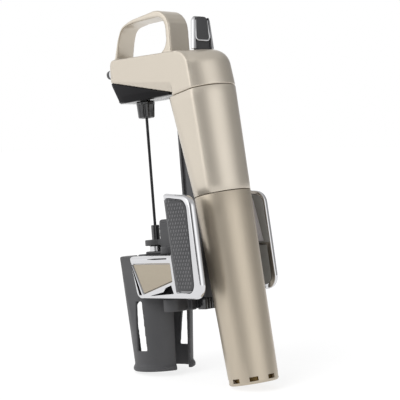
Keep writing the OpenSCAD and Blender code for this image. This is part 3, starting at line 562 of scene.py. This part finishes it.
def sunk(x):
    """How far the foot of the nose's flat sides lies inwards."""
    return 0.42 * (fold_line(x) - cover_line(x)) * step((x + 41.5) / 3)


def tuck(point):
    """Draws the foot of the nose's flat sides in, so that it slopes under along the cover."""
    fold, foot = fold_line(point.x), cover_line(point.x)
    share = min(1, max(0, (fold - point.z) / (fold - foot)))
    return Vector((point.x, point.y * (1 - share * sunk(point.x) / flat_at(point.x)), point.z))


def ease(point):
    """Rounds the front upper corner of the handle loop by up to 1.5 mm more, as one bend of band."""
    away = Vector((point.x - LOOP_BEND[0], point.z - LOOP_BEND[1])).length
    shift = 1.5 * (1 - step(away / 12))
    return tuck(Vector((point.x - 0.62 * shift, point.y, point.z - 0.78 * shift)))


def toe(point):
    """Draws the cover's lower front corner out by 2.3 mm to a point, so that its front edge is hollow."""
    shift = 2.3 * step((171.6 - point.z) / 3.4) * step((point.x - 6) / 6)
    return tuck(Vector((point.x + shift, point.y, point.z)))


def shoulder(name, side):
    """The flat side's rounded upper rear corner, beside the trigger's slot."""
    low, front, slot, half_w = 178, -38, 9.6, 16.4
    corners = [(front, low, 0.3), (front, top_at(front), 0.3), (FLAT_X, top_at(FLAT_X), 12),
               (FLAT_X, low, 0.3)]
    piece = cushion(name, corners, (-half_w, -slot), (1.3, 0), steps=12)
    for corner in piece.data.vertices:
        corner.co.y *= side * (flat_at(corner.co.x) / half_w if corner.co.y > slot + 0.1 else 1)
    outwards(piece)
    return piece


def barrel_ring(s, less=0.0):
    """The barrel's section at height s: round behind, flat-sided, square-shouldered in front at the top.

    Straight lines bound it, each given by its direction and its distance from the axis. Both change evenly
    from the round foot to the squarer top. less is taken off all round."""
    t = s / BARREL_L
    foot_r, top_r, foot_flat, top_flat = 17.0, 18.4, 16.55, 16.907
    shoulder_x, shoulder_y, shoulder_r = 14.4, 11.35, 4.0
    lines = []
    for angle in (a * pi / 180 for a in range(-180, 180, 2)):
        top = max(top_r, shoulder_x * cos(angle) + shoulder_y * abs(sin(angle)) + shoulder_r)
        lines.append((angle, (1 - t) * foot_r + t * top))
    for side in (1, -1):
        lines.append((side * ((1 - t) * pi / 2 + t * atan2(1, TILT)), (1 - t) * foot_flat + t * top_flat))

    def reach(angle):
        return min(h / cos(angle - a) for a, h in lines if cos(angle - a) > 0.2)

    ring = []
    for k in range(BARREL_CORNERS):
        angle = 2 * pi * k / BARREL_CORNERS
        soft = sum(reach(angle + radians(d)) for d in (-2.6, -1.3, 0, 1.3, 2.6)) / 5 - less
        ring.append((soft * cos(angle), soft * sin(angle), s))
    return ring


def circle_ring(r, s):
    """A round ring with as many corners as barrel_ring."""
    angles = (2 * pi * k / BARREL_CORNERS for k in range(BARREL_CORNERS))
    return [(r * cos(angle), r * sin(angle), s) for angle in angles]


class DISPENSER_OT_head(bpy.types.Operator):
    """Head with its handle loop, in one moulding"""
    bl_idname = "dispenser.head"
    bl_label = "Head and handle loop"

    def execute(self, context):
        head = moulded("head_housing", "head_shell", sizes().head_voxel / MM, 14,
                       shoulder("left_shoulder", 1), shoulder("right_shoulder", -1))
        reshape(head, ease)
        finish_piece(head, "body", "housing", "lacquer", "head_housing")
        return {"FINISHED"}


class DISPENSER_OT_barrel(bpy.types.Operator):
    """Barrel under the head, with a thin shadow gap at each end"""
    bl_idname = "dispenser.barrel"
    bl_label = "Barrel"

    def execute(self, context):
        edge = sizes().seam_edge / MM
        seam, bore, socket_r, socket_depth, top_bore = 0.3, 9.2, 14.05, 7, 12
        low, high = seam, BARREL_L - seam
        rings = [circle_ring(bore, socket_depth), circle_ring(socket_r, socket_depth),
                 circle_ring(socket_r, low), barrel_ring(low, edge),
                 barrel_ring(low + 0.3 * edge, 0.3 * edge), barrel_ring(low + edge)]
        rings += [barrel_ring(low + edge + (high - low - 2 * edge) * k / 12) for k in range(1, 13)]
        rings += [barrel_ring(high - 0.3 * edge, 0.3 * edge), barrel_ring(high, edge),
                  circle_ring(top_bore, high)]
        barrel = place(stacked("barrel_shell", rings), BARREL, 40)
        finish_piece(barrel, "body", "housing", "lacquer", "body_shell")
        return {"FINISHED"}


class DISPENSER_OT_cover(bpy.types.Operator):
    """Polished cover under the nose"""
    bl_idname = "dispenser.cover"
    bl_label = "Nose cover"

    def execute(self, context):
        cover = edged("under_cover", "nose_cover", 0.35)
        reshape(cover, toe)
        path = [(x, flat_at(x) - sunk(x) - 0.05, cover_line(x)) for x in range(-38, 17, 3)]
        seam = place(tube("left_cover_seam", path, 0.24, Vector((0, 0, 1))), DEVICE, 60)
        for one in (seam, other_side(seam, "right_cover_seam")):
            finish_piece(one, "body", "black", "void")
        finish_piece(cover, "body", "gloss_black", "gloss", "under_cover")
        return {"FINISHED"}


class DISPENSER_OT_spout(bpy.types.Operator):
    """Nozzle with its collar, and the black ring round its mouth"""
    bl_idname = "dispenser.spout"
    bl_label = "Spout"

    def execute(self, context):
        forwards = DEVICE @ Matrix.Translation((0, 0, SPOUT_Z)) @ Matrix.Rotation(pi / 2, 4, "Y")
        nozzle = turned("spout_nozzle", [
            (1.3, 6.2), (2.4, 6.2), (2.4, 25.5), (3.1, 25.5), (3.4, 25.8), (3.4, 28.9), (3.25, 29.3),
            (2.9, 29.6), (1.9, 29.8), (1.9, 31.6), (1.7, 31.9), (1.3, 31.9)])
        finish_piece(place(nozzle, forwards), "body", "chrome", "chrome", "spout")
        lip = turned("spout_lip", [
            (1.95, 29.85), (2.85, 29.85), (3.1, 30.1), (3.05, 30.9), (2.8, 32.1), (2.5, 32.45), (2.2, 32.5),
            (1.95, 32.2)])
        finish_piece(place(lip, forwards), "body", "black", "acetal", "spout_mouth")
        return {"FINISHED"}


class DISPENSER_OT_rail(bpy.types.Operator):
    """Rail with the ribbed stop at its foot"""
    bl_idname = "dispenser.rail"
    bl_label = "Rail"

    def execute(self, context):
        rail = edged("slide_rail", "rail_bar", 0.3)
        finish_piece(rail, "body", "graphite", "nylon", "slide_rail")
        stop = edged("rail_end", "rail_stop", 0.25)
        finish_piece(stop, "body", "black", "acetal", "rail_end")
        return {"FINISHED"}


# ---------- trigger ----------

class DISPENSER_OT_trigger(bpy.types.Operator):
    """Chrome lever whose hollow back holds a dark pad in a chrome bead"""
    bl_idname = "dispenser.trigger"
    bl_label = "Trigger"

    def execute(self, context):
        foot, crown = TOP_Z + 0.6, TOP_Z + 20.5
        back, front = TRIGGER_X - 1.1, TRIGGER_X + 2.0
        floor = back + 2.1      # bottom of the hollow
        blade = cushion("trigger_blade", [(-8.7, foot, 0.3), (8.7, foot, 0.3), (6.6, crown, 3.4),
                                          (-6.6, crown, 3.4)], (back, front), (0.35, 1.0), "YZ")
        hollow = [(-6.7, foot - 2, 0.3), (6.7, foot - 2, 0.3), (5.7, crown + 2, 0.3), (-5.7, crown + 2, 0.3)]
        cut(blade, cushion("hollow", hollow, (back - 1, floor), (0, 0.3), "YZ"))
        knuckle_r, half = 3.0, 6.5
        knuckle = turned("knuckle", [(0, -half), (knuckle_r, -half), (knuckle_r, half), (0, half)], 48)
        knuckle.data.transform(Matrix.Translation((TRIGGER_X, 0, TRIGGER_Z))
                               @ Matrix.Rotation(pi / 2, 4, "X"))
        section = [(-half, TRIGGER_Z), (half, TRIGGER_Z), (half, foot + 1.4), (-half, foot + 1.4)]
        neck = stacked("neck", [lie("YZ", section, floor), lie("YZ", section, front)])
        cut(blade, neck, knuckle, way="UNION")
        finish_piece(place(blade, DEVICE, 30), "trigger", "chrome", "chrome", "trigger_lever")
        low, high = foot + 5.3, crown - 2.6
        path = rounded([(4.9, high, 0), (5.9, low, 2.4), (-5.9, low, 2.4), (-4.9, high, 0)], 8)
        bead = tube("trigger_bead", lie("YZ", path, back + 0.6), 0.6, Vector((1, 0, 0)))
        finish_piece(place(bead, DEVICE, 60), "trigger", "chrome", "chrome")
        pad = cushion("trigger_pad", [(-5.6, low + 0.1, 2.2), (5.6, low + 0.1, 2.2), (4.9, crown - 0.3, 2.8),
                                      (-4.9, crown - 0.3, 2.8)], (back + 0.1, floor), (0.5, 0), "YZ")
        base = cushion("base", [(-6.5, foot - 0.4, 0.3), (6.5, foot - 0.4, 0.3), (5.5, crown - 0.6, 2.6),
                                (-5.5, crown - 0.6, 2.6)], (back + 1.5, floor), (0.1, 0), "YZ")
        cut(pad, base, way="UNION")
        finish_piece(place(pad, DEVICE, 30), "trigger", "graphite", "nylon", "trigger_insert")
        return {"FINISHED"}


# ---------- needle ----------

class DISPENSER_OT_knob(bpy.types.Operator):
    """Fluted knob of the needle"""
    bl_idname = "dispenser.knob"
    bl_label = "Needle knob"

    def execute(self, context):
        flutes, corners_each, depth = 10, 12, sizes().flute_depth / MM
        foot, top, neck = 5.1, 5.75, 3.2        # radii
        low = HEAD_Z - 10

        def ring(z, r, share=1.0):
            """A ring whose flutes have a share of their full depth."""
            points = []
            for k in range(flutes * corners_each):
                angle = 2 * pi * k / (flutes * corners_each)
                wave = max(0.0, -cos(flutes * angle)) ** 0.7
                fluted = r - depth * share * wave
                points.append((fluted * cos(angle), fluted * sin(angle), z))
            return points

        rings = [ring(low + 1.2, 1.2, 0), ring(low + 1.2, 2.6, 0), ring(low, 3.4, 0),
                 ring(low, foot - 0.9, 0.6), ring(low + 0.12, foot - 0.35), ring(low + 0.5, foot),
                 ring(low + 4, foot + 0.25), ring(low + 8.0, foot + 0.55), ring(low + 8.4, foot + 0.7, 0.2),
                 ring(low + 8.6, top, 0), ring(low + 9.7, top + 0.1, 0), ring(low + 10, top - 0.2, 0),
                 ring(low + 10, neck, 0), ring(low + 16, neck, 0)]
        knob = place(stacked("fluted_knob", rings), DEVICE, 38)
        finish_piece(knob, "needle_unit", "black", "acetal", "needle_knob")
        return {"FINISHED"}


# ---------- gas cup ----------

class DISPENSER_OT_cup(bpy.types.Operator):
    """Gas cup, turned, with vents round its foot"""
    bl_idname = "dispenser.cup"
    bl_label = "Gas cup"

    def execute(self, context):
        end, foot_r, top_r, foot_edge = -113.0, 14.8, 17.0, 1.6
        socket_r, bore, floor = 14.2, 13, -111.4
        edge = sizes().seam_edge / MM
        foot = [(foot_r - foot_edge + foot_edge * sin(a), end + foot_edge - foot_edge * cos(a))
                for a in (radians(15 * k) for k in range(7))]
        profile = [(0, end + 0.5), (9.0, end + 0.5), (9.6, end)] + foot
        profile += [(foot_r + (top_r - foot_r) * k / 8, end + foot_edge + (-foot_edge - end - edge) * k / 8)
                    for k in range(1, 9)]
        profile += [(top_r - 0.3 * edge, -0.3 * edge), (top_r - edge, 0), (socket_r, 0), (socket_r, -14),
                    (bore, -14), (bore, floor), (0, floor)]
        cup = turned("cup_shell", profile, 128)
        vents, depth, width, height = 8, 6, 5.2, 2.5
        deselect()
        bpy.ops.mesh.primitive_cube_add(size=1)
        vent = named("vent")
        vent.data.transform(Matrix.Translation((15, 0, end + 2.9))
                            @ Matrix.Diagonal((depth, width, height, 1)))
        openings = []
        for k in range(vents):
            openings.append(copy_of(vent, f"vent_{k}"))
            openings[k].data.transform(Matrix.Rotation(pi + k * 2 * pi / vents, 4, "Z"))
        bpy.data.objects.remove(vent)
        cut(cup, *openings)
        # painted shade: a dark brown ring just inside the vents, so that they look dark instead of showing
        # through the hollow cup
        inner, outer, low, high = 12.3, 12.95, end + 1.65, end + 5.6
        shade = turned("vent_shade", [(inner, low), (outer, low), (outer, high), (inner, high)])
        finish_piece(place(shade, BARREL, 30), "cup", "brass", "brass")
        finish_piece(place(cup, BARREL, 30), "cup", "cup", "anodised", "gas_cup")
        return {"FINISHED"}


# ---------- clamp ----------

class DISPENSER_OT_clamp(bpy.types.Operator):
    """Slide that carries the jaws, with the needle's guide"""
    bl_idname = "dispenser.clamp"
    bl_label = "Clamp slide and guide"

    def execute(self, context):
        slide = moulded("clamp_carriage", "clamp_slide_block", 0.4, 6)
        finish_piece(slide, "clamp", "graphite", "nylon", "clamp_carriage")
        guide = turned("guide_bush", [
            (1.2, 72.7), (3.9, 72.7), (4.2, 73.0), (4.2, 77.3), (2.6, 77.5), (2.6, 89.9), (2.45, 90.25),
            (2.1, 90.4), (1.5, 90.4), (1.2, 89.9)])
        finish_piece(place(guide, DEVICE), "clamp", "black", "acetal", "needle_guide")
        collar = turned("guide_collar", [(4.0, 73.1), (4.35, 73.1), (4.45, 73.2), (4.45, 77.0), (4.35, 77.1),
                                         (4.0, 77.1)])
        finish_piece(place(collar, DEVICE), "clamp", "chrome", "chrome")
        return {"FINISHED"}


class DISPENSER_OT_jaws(bpy.types.Operator):
    """Two halves of the neck sleeve"""
    bl_idname = "dispenser.jaws"
    bl_label = "Jaws"

    def execute(self, context):
        for side in ("left", "right"):
            jaw = moulded(f"{side}_jaw", f"{side}_sleeve_half", 0.45, 6)
            finish_piece(jaw, f"{side}_clamp_jaw", "graphite", "nylon", f"{side}_jaw")
        return {"FINISHED"}


class DISPENSER_OT_grips(bpy.types.Operator):
    """Chrome arms with their grip pads, side plates and linings"""
    bl_idname = "dispenser.grips"
    bl_label = "Arms and grips"

    # corners on the arm's plane as x, z and radius, in millimetres
    ARM_SHAPE = [(-40.6, 108.8, 1.5), (-67.8, 106, 8), (-72.6, 46, 8), (-6.4, 46, 5), (-0.2, 72, 1.6),
                 (-44.2, 72, 1.8), (-43.9, 76, 0.3)]
    PAD_SHAPE = [(-42.6, 105.6, 0.7), (-63.2, 103, 6), (-65.2, 50.2, 5), (-48.8, 50.2, 0.8), (-44.9, 79, 0.3)]
    PLATE_SHAPE = [(-4, 67.4, 0.3), (-43.2, 67, 0.3), (-44.2, 56.8, 0.3), (-13.8, 49.2, 0.6)]
    HOLE_SHAPE = [(-43.3, 54.4, 0.2), (-45.4, 49.2, 0.2), (-20, 47.9, 0.1), (-35, 50.4, 0.5),
                  (-37.5, 52.8, 0.4)]
    GROOVE_SHAPE = [(-2.2, 68.4, 0.1), (-2.7, 68.4, 0.1), (-12.2, 48.4, 0.2), (-9.4, 48.4, 0.4)]
    SLIT_SHAPE = [(-18, 70.05, 0.1), (-28, 70.5, 2), (-40.4, 70.5, 0.1), (-40.4, 69.8, 0.1), (-28, 69.7, 2)]
    LINING_SHAPE = [(-46, 73.5, 0.3), (-67.2, 73.5, 0.3), (-69, 49, 5), (-52.5, 49, 1)]
    SURROUND_SHAPE = [(-43.6, 106.4, 1.2), (-66.4, 104, 6), (-69.4, 74.6, 0.3), (-46, 74.6, 0.3)]
    WINDOW_SHAPE = [(-57.8, 102.6, 0.6), (-59.3, 102.6, 0.6), (-65.2, 75.6, 0.3), (-55.6, 75.6, 0.3)]

    def execute(self, context):
        arm = cushion("left_arm", self.ARM_SHAPE, (0, 4), (2.2, 0.8), steps=8)
        cut(arm, cushion("pad_seat", self.PAD_SHAPE, (-1, 1.9), (-1.9, 0)),
            cushion("plate_seat", self.PLATE_SHAPE, (-1, 1.4), (-1.6, 0)),
            cushion("hole", self.HOLE_SHAPE, (-1, 2.6), (0, 0)),
            cushion("groove", self.GROOVE_SHAPE, (-1, 1.6), (0, 0)),
            cushion("slit", self.SLIT_SHAPE, (-1, 1.6), (0, 0)),
            cushion("lining_seat", self.LINING_SHAPE, (2.8, 5), (0, 0)),
            cushion("surround_seat", self.SURROUND_SHAPE, (2.8, 5), (0, 0)))
        pad, studs = self.dotted_pad()
        plate = cushion("left_side_plate", inset(self.PLATE_SHAPE, 0.25), (0.45, 1.4), (0.22, 0))
        lining = cushion("left_arm_lining", inset(self.LINING_SHAPE, 0.15), (2.8, 4), (0, 0.4))
        surround = cushion("left_arm_surround", inset(self.SURROUND_SHAPE, 0.1), (2.8, 4), (0, 0.4))
        cut(surround, cushion("window", self.WINDOW_SHAPE, (2, 5), (0, 0)))
        window = cushion("left_arm_window", inset(self.WINDOW_SHAPE, 0.05), (2.8, 3.5), (0, 0.2))
        floor = cushion("left_hole_floor", inset(self.HOLE_SHAPE, 0.05), (2.1, 2.6), (0, 0))
        slit = cushion("left_slit_floor", self.SLIT_SHAPE, (0.8, 1.6), (0, 0))
        line = cushion("left_groove_floor", inset(self.GROOVE_SHAPE, 0.03), (1.0, 1.6), (0, 0))
        for piece, slot, finish, node in (
                (arm, "chrome", "chrome", "grip_frame"), (pad, "rubber", "rubber", "grip_pad"),
                (plate, "housing", "plate", "plate"), (lining, "graphite", "lining", "inner_cover"),
                (surround, "graphite", "lining", None), (window, "chrome", "satin", None),
                (slit, "black", "void", None), (studs, "rubber", "studs", None),
                (floor, "black", "void", None), (line, "black", "void", None)):
            place(piece, ARM, 32)
            twin = other_side(piece, piece.name.replace("left", "right"))
            for side, one in (("left", piece), ("right", twin)):
                nodes = (f"{side}_{node}",) if node else ()
                finish_piece(one, f"{side}_clamp_jaw", slot, finish, *nodes)
        return {"FINISHED"}

    def dotted_pad(self):
        """Grip pad, and the staggered rows of small slanted studs that stand on it."""
        pad = cushion("left_dotted_pad", inset(self.PAD_SHAPE, 0.35), (0.35, 1.7), (0.45, 0))
        pitch, row = sizes().stud_pitch / MM, sizes().stud_row / MM
        front, top, rows, columns, margin = -43, 106, 26, 10, 1.2
        deselect()
        bpy.ops.mesh.primitive_uv_sphere_add(segments=8, ring_count=6, radius=1)
        stud = named("stud")
        stud.data.transform(Matrix.Rotation(radians(-20), 4, "Y") @ Matrix.Diagonal((0.55, 0.36, 0.85, 1)))
        copies = []
        for j in range(rows):
            for i in range(columns):
                x = front - i * pitch - (0.5 * pitch if j % 2 else 0)
                z = top - j * row
                if self.on_pad(x, z, margin):
                    one = copy_of(stud, "stud_copy")
                    one.data.transform(Matrix.Translation((x, -0.4, z)))
                    copies.append(one)
        deselect()
        for one in copies:
            one.select_set(True)
        bpy.context.view_layer.objects.active = copies[0]
        bpy.ops.object.join()
        bpy.data.objects.remove(stud)
        return pad, named("left_studs")

    def on_pad(self, x, z, margin):
        """Whether a stud lies on the pad, a margin clear of its rounded outline."""
        ring = [Vector(p) for p in rounded(inset(self.PAD_SHAPE, margin), 4)]
        side = [(b - a).cross(Vector((x, z)) - a) > 0 for a, b in zip(ring, ring[1:] + ring[:1])]
        return all(side) or not any(side)


class DISPENSER_OT_inner(bpy.types.Operator):
    """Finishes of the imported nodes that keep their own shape"""
    bl_idname = "dispenser.inner"
    bl_label = "Carried-over parts"

    def execute(self, context):
        kept = {
            "steel": ("gas_tube", "rail_screws", "piercing_pin", "trigger_pin", "valve_stem", "hinge_pins"),
            "alloy": ("regulator", "valve_block", "gas_capsule"),
            "nylon": ("cup_spigot", "capsule_liner"),
            "rubber": ("regulator_seal", "knob_seal", "left_neck_pad", "right_neck_pad"),
            "brass": ("needle_socket",),
            "coat": ("needle",),
            "acetal": ("slide_pads",),
        }
        for finish, nodes in kept.items():
            for name in nodes:
                materials = frame["nodes"][name].data.materials
                if not materials:
                    materials.append(None)
                for k in range(len(materials)):
                    materials[k] = finishes()[finish]
        return {"FINISHED"}


# ---------- stage ----------

# What gloss sees round the object: compass degrees from +X over +Y, and brightness, where 1 is the white of
# the background. The camera looks from 135. A dark card stands close on its left with a soft box beyond it,
# and a wide soft box on its right, past which the room is dim.
STUDIO = ((-180, 1.4), (-165, 1.05), (-150, 0.65), (-134, 0.36), (-110, 0.36), (-85, 0.3), (-62, 0.5),
          (-45, 1.0), (14, 1.0), (38, 1.3), (52, 1.85), (66, 1.85), (78, 1.0), (88, 0.2), (110, 0.1),
          (128, 0.5), (146, 1.25), (164, 1.5), (180, 1.4))
STUDIO_MAX = 2.0            # brightness that the ramp's white stands for
STUDIO_ABOVE = 0.6          # even brightness straight up and down
STUDIO_RISE = (0.4, 0.8)    # heights of the line of sight between which the one passes into the other

FLOOR_WIDTH = 12.0          # metres
FLOOR_DROP = 0.2 * MM       # below the model, so that the two don't share a plane

# the camera that a fit to the photograph gave
CAMERA_PLACE = (-0.557123, 0.538255, 0.153646)
CAMERA_TURN = (86.6671, 0.5816, -134.6861)
CAMERA_LENS = 113.71
SENSOR_WIDTH = 36


class DISPENSER_OT_stage(bpy.types.Operator):
    """White floor, soft studio light and the camera"""
    bl_idname = "dispenser.stage"
    bl_label = "Studio"

    def execute(self, context):
        self.floor()
        self.world()
        self.lamps()
        self.camera(context)
        context.scene.view_settings.view_transform = "Standard"
        return {"FINISHED"}

    def floor(self):
        """A wide white floor: the camera and metal see it at white less a share of the object's shadow."""
        deselect()
        bpy.ops.mesh.primitive_plane_add(size=1)
        floor = named("studio_floor")
        floor.data.transform(Matrix.Translation((0, 0, -FLOOR_DROP)) @ Matrix.Scale(FLOOR_WIDTH, 4))
        material, tree, shader = principled("white paper sweep", rgb("f4f4f3"), 0, 0.9,
                                            Specular_IOR_Level=0.0)
        # a pale glow with a grey surface under it, on which the object's shadow shows
        shown = add(tree, "BsdfPrincipled", {"Base Color": (*rgb("959595"), 1), "Roughness": 0.9,
                                             "Specular IOR Level": 0.0, "Emission Color": (*rgb("ffffff"), 1),
                                             "Emission Strength": 0.8})
        mix = add(tree, "MixShader", None, _0=self.seen(tree), _1=shader.outputs[0], _2=shown.outputs[0])
        tree.links.new(mix.outputs[0], tree.nodes["Material Output"].inputs["Surface"])
        floor.data.materials.append(material)

    def seen(self, tree):
        """1 for rays that show the background: from the camera, off gloss and through glass."""
        path = add(tree, "LightPath")
        first = add(tree, "Math", {"operation": "MAXIMUM"}, _0=path.outputs["Is Camera Ray"],
                    _1=path.outputs["Is Glossy Ray"])
        return add(tree, "Math", {"operation": "MAXIMUM"}, _0=first.outputs[0],
                   _1=path.outputs["Is Transmission Ray"]).outputs[0]

    def world(self):
        """White round the object for the camera, plain fill light on it, and the studio that gloss sees."""
        world = bpy.data.worlds.new("studio white")
        bpy.context.scene.world = world
        world.use_nodes = True
        tree = world.node_tree
        tree.nodes.clear()
        neutral = (*rgb("ffffff"), 1)
        fill = add(tree, "Background", {"Color": neutral, "Strength": sizes().fill_light})
        white = add(tree, "Background", {"Color": neutral, "Strength": 1.0})
        room = add(tree, "Background", {"Color": neutral}, Strength=self.studio(tree))
        path = add(tree, "LightPath")
        plain = add(tree, "MixShader", None, _0=self.seen(tree), _1=fill.outputs[0], _2=white.outputs[0])
        mix = add(tree, "MixShader", None, _0=path.outputs["Is Glossy Ray"], _1=plain.outputs[0],
                  _2=room.outputs[0])
        add(tree, "OutputWorld", None, Surface=mix.outputs[0])

    def studio(self, tree):
        """Brightness of the studio that gloss sees at eye level: soft boxes and dark cards round the object.

        Straight up and down it is an even pale grey."""
        way = add(tree, "SeparateXYZ", None, Vector=add(tree, "TexCoord").outputs["Generated"])
        compass = add(tree, "Math", {"operation": "ARCTAN2"}, _0=way.outputs["Y"], _1=way.outputs["X"])
        turn = add(tree, "MapRange", {"From Min": -pi, "From Max": pi}, Value=compass.outputs[0])
        ramp = add(tree, "ValToRGB", None, Fac=turn.outputs[0])
        ramp.color_ramp.interpolation = "EASE"
        stops = ramp.color_ramp.elements
        for compass_degrees, brightness in STUDIO[1:-1]:
            stops.new(0.5 + compass_degrees / 360)
        for stop, (compass_degrees, brightness) in zip(stops, STUDIO):
            stop.color = (*[brightness / STUDIO_MAX] * 3, 1)
        height = add(tree, "Math", {"operation": "ABSOLUTE"}, _0=way.outputs["Z"])
        level = add(tree, "MapRange", {"interpolation_type": "SMOOTHSTEP", "From Min": STUDIO_RISE[0],
                                       "From Max": STUDIO_RISE[1], "To Min": 1.0, "To Max": 0.0},
                    Value=height.outputs[0])
        shown = add(tree, "Mix", {"data_type": "FLOAT", 2: STUDIO_ABOVE / STUDIO_MAX},
                    Factor=level.outputs[0], _3=ramp.outputs[0])
        return add(tree, "Math", {"operation": "MULTIPLY", 1: STUDIO_MAX}, _0=shown.outputs[0]).outputs[0]

    def lamps(self):
        """A large soft key from the object's left, as even as a window, and a weak one from above."""
        for name, spot, spread, power in (("key light", (-0.1, 0.9, 0.62), 40, sizes().key_light),
                                          ("top light", (0.35, 0.1, 1.0), 70, sizes().top_light)):
            lamp = bpy.data.lights.new(name, "SUN")
            lamp.angle, lamp.energy = radians(spread), power
            light = bpy.data.objects.new(name, lamp)
            light.location = spot
            light.visible_glossy = False    # gloss shows the studio round the object instead of a hard disc
            light.rotation_euler = Vector(spot).to_track_quat("Z", "Y").to_euler()
            bpy.context.scene.collection.objects.link(light)

    def camera(self, context):
        """The camera, where the fit puts it."""
        data = bpy.data.cameras.new("photo view")
        data.sensor_width = SENSOR_WIDTH
        data.lens = CAMERA_LENS
        camera = bpy.data.objects.new("photo view", data)
        camera.location = CAMERA_PLACE
        camera.rotation_euler = [radians(a) for a in CAMERA_TURN]
        bpy.context.scene.collection.objects.link(camera)
        context.scene.camera = camera


# ---------- add-on ----------

class DispenserSizes(bpy.types.PropertyGroup):
    """Sizes and light levels that a user may change."""
    head_voxel: FloatProperty(name="Head mesh size", description="Mesh size of the head",
                              default=0.5 * MM, min=0.3 * MM, max=1.0 * MM, precision=5, unit="LENGTH")
    seam_edge: FloatProperty(name="Seam rounding", description="Rounding at the barrel's seams",
                             default=0.45 * MM, min=0.2 * MM, max=0.8 * MM, precision=5, unit="LENGTH")
    flute_depth: FloatProperty(name="Flute depth", description="Depth of the knob's flutes",
                               default=0.75 * MM, min=0.3 * MM, max=1.0 * MM, precision=5, unit="LENGTH")
    stud_pitch: FloatProperty(name="Stud pitch", description="Distance between studs in a row",
                              default=2.6 * MM, min=1.6 * MM, max=4.0 * MM, precision=5, unit="LENGTH")
    stud_row: FloatProperty(name="Stud rows", description="Distance between rows of studs",
                            default=2.2 * MM, min=1.6 * MM, max=4.0 * MM, precision=5, unit="LENGTH")
    fill_light: FloatProperty(name="Fill light", description="Strength of the plain light from all round",
                              default=0.42, min=0.0, max=1.0)
    key_light: FloatProperty(name="Key light", description="Strength of the soft light from the left",
                             default=1.65, min=0.0, max=4.0)
    top_light: FloatProperty(name="Top light", description="Strength of the soft light from above",
                             default=0.5, min=0.0, max=4.0)


class DispenserColours(bpy.types.PropertyGroup):
    """Colours that a user may change."""
    champagne: FloatVectorProperty(name="Champagne lacquer", description="Colour of the head and barrel",
                                   default=rgb("cec5b7"), subtype="COLOR", min=0, max=1)
    cup: FloatVectorProperty(name="Champagne cup", description="Colour of the gas cup",
                             default=rgb("bdb2a1"), subtype="COLOR", min=0, max=1)
    plate: FloatVectorProperty(name="Side plates", description="Colour of the plates on the arms",
                               default=rgb("ada392"), subtype="COLOR", min=0, max=1)
    chrome: FloatVectorProperty(name="Chrome", description="Colour of the plated arms and trigger",
                                default=rgb("d6d6d8"), subtype="COLOR", min=0, max=1)
    graphite: FloatVectorProperty(name="Graphite", description="Colour of the sleeve, slide and rail",
                                  default=rgb("454547"), subtype="COLOR", min=0, max=1)
    rubber: FloatVectorProperty(name="Grip rubber", description="Colour of the grip and neck pads",
                                default=rgb("3f3f41"), subtype="COLOR", min=0, max=1)


class DISPENSER_PT_pieces(bpy.types.Panel):
    """Sidebar panel with the pieces, the sizes and the colours"""
    bl_label = "Dispenser"
    bl_idname = "DISPENSER_PT_pieces"
    bl_space_type = "VIEW_3D"
    bl_region_type = "UI"
    bl_category = "Dispenser"

    def draw(self, context):
        for group in (context.scene.dispenser_sizes, context.scene.dispenser_colours):
            box = self.layout.box()
            for key in group.__annotations__:
                box.prop(group, key)
        for operator in OPERATORS:
            self.layout.operator(operator.bl_idname)


OPERATORS = (DISPENSER_OT_stage, DISPENSER_OT_head, DISPENSER_OT_barrel, DISPENSER_OT_cover,
             DISPENSER_OT_spout, DISPENSER_OT_rail, DISPENSER_OT_trigger, DISPENSER_OT_knob, DISPENSER_OT_cup,
             DISPENSER_OT_clamp, DISPENSER_OT_jaws, DISPENSER_OT_grips, DISPENSER_OT_inner)
CLASSES = (DispenserSizes, DispenserColours, DISPENSER_PT_pieces) + OPERATORS


def register():
    """Makes the classes and the two groups of settings known to Blender."""
    for cls in CLASSES:
        bpy.utils.register_class(cls)
    bpy.types.Scene.dispenser_sizes = PointerProperty(type=DispenserSizes)
    bpy.types.Scene.dispenser_colours = PointerProperty(type=DispenserColours)


def unregister():
    """Takes them away again."""
    del bpy.types.Scene.dispenser_sizes
    del bpy.types.Scene.dispenser_colours
    for cls in reversed(CLASSES):
        bpy.utils.unregister_class(cls)


def main():
    """Builds every piece in turn."""
    register()
    for operator in OPERATORS:
        group, name = operator.bl_idname.split(".")
        getattr(getattr(bpy.ops, group), name)()
    deselect()


if __name__ == "__main__":
    main()
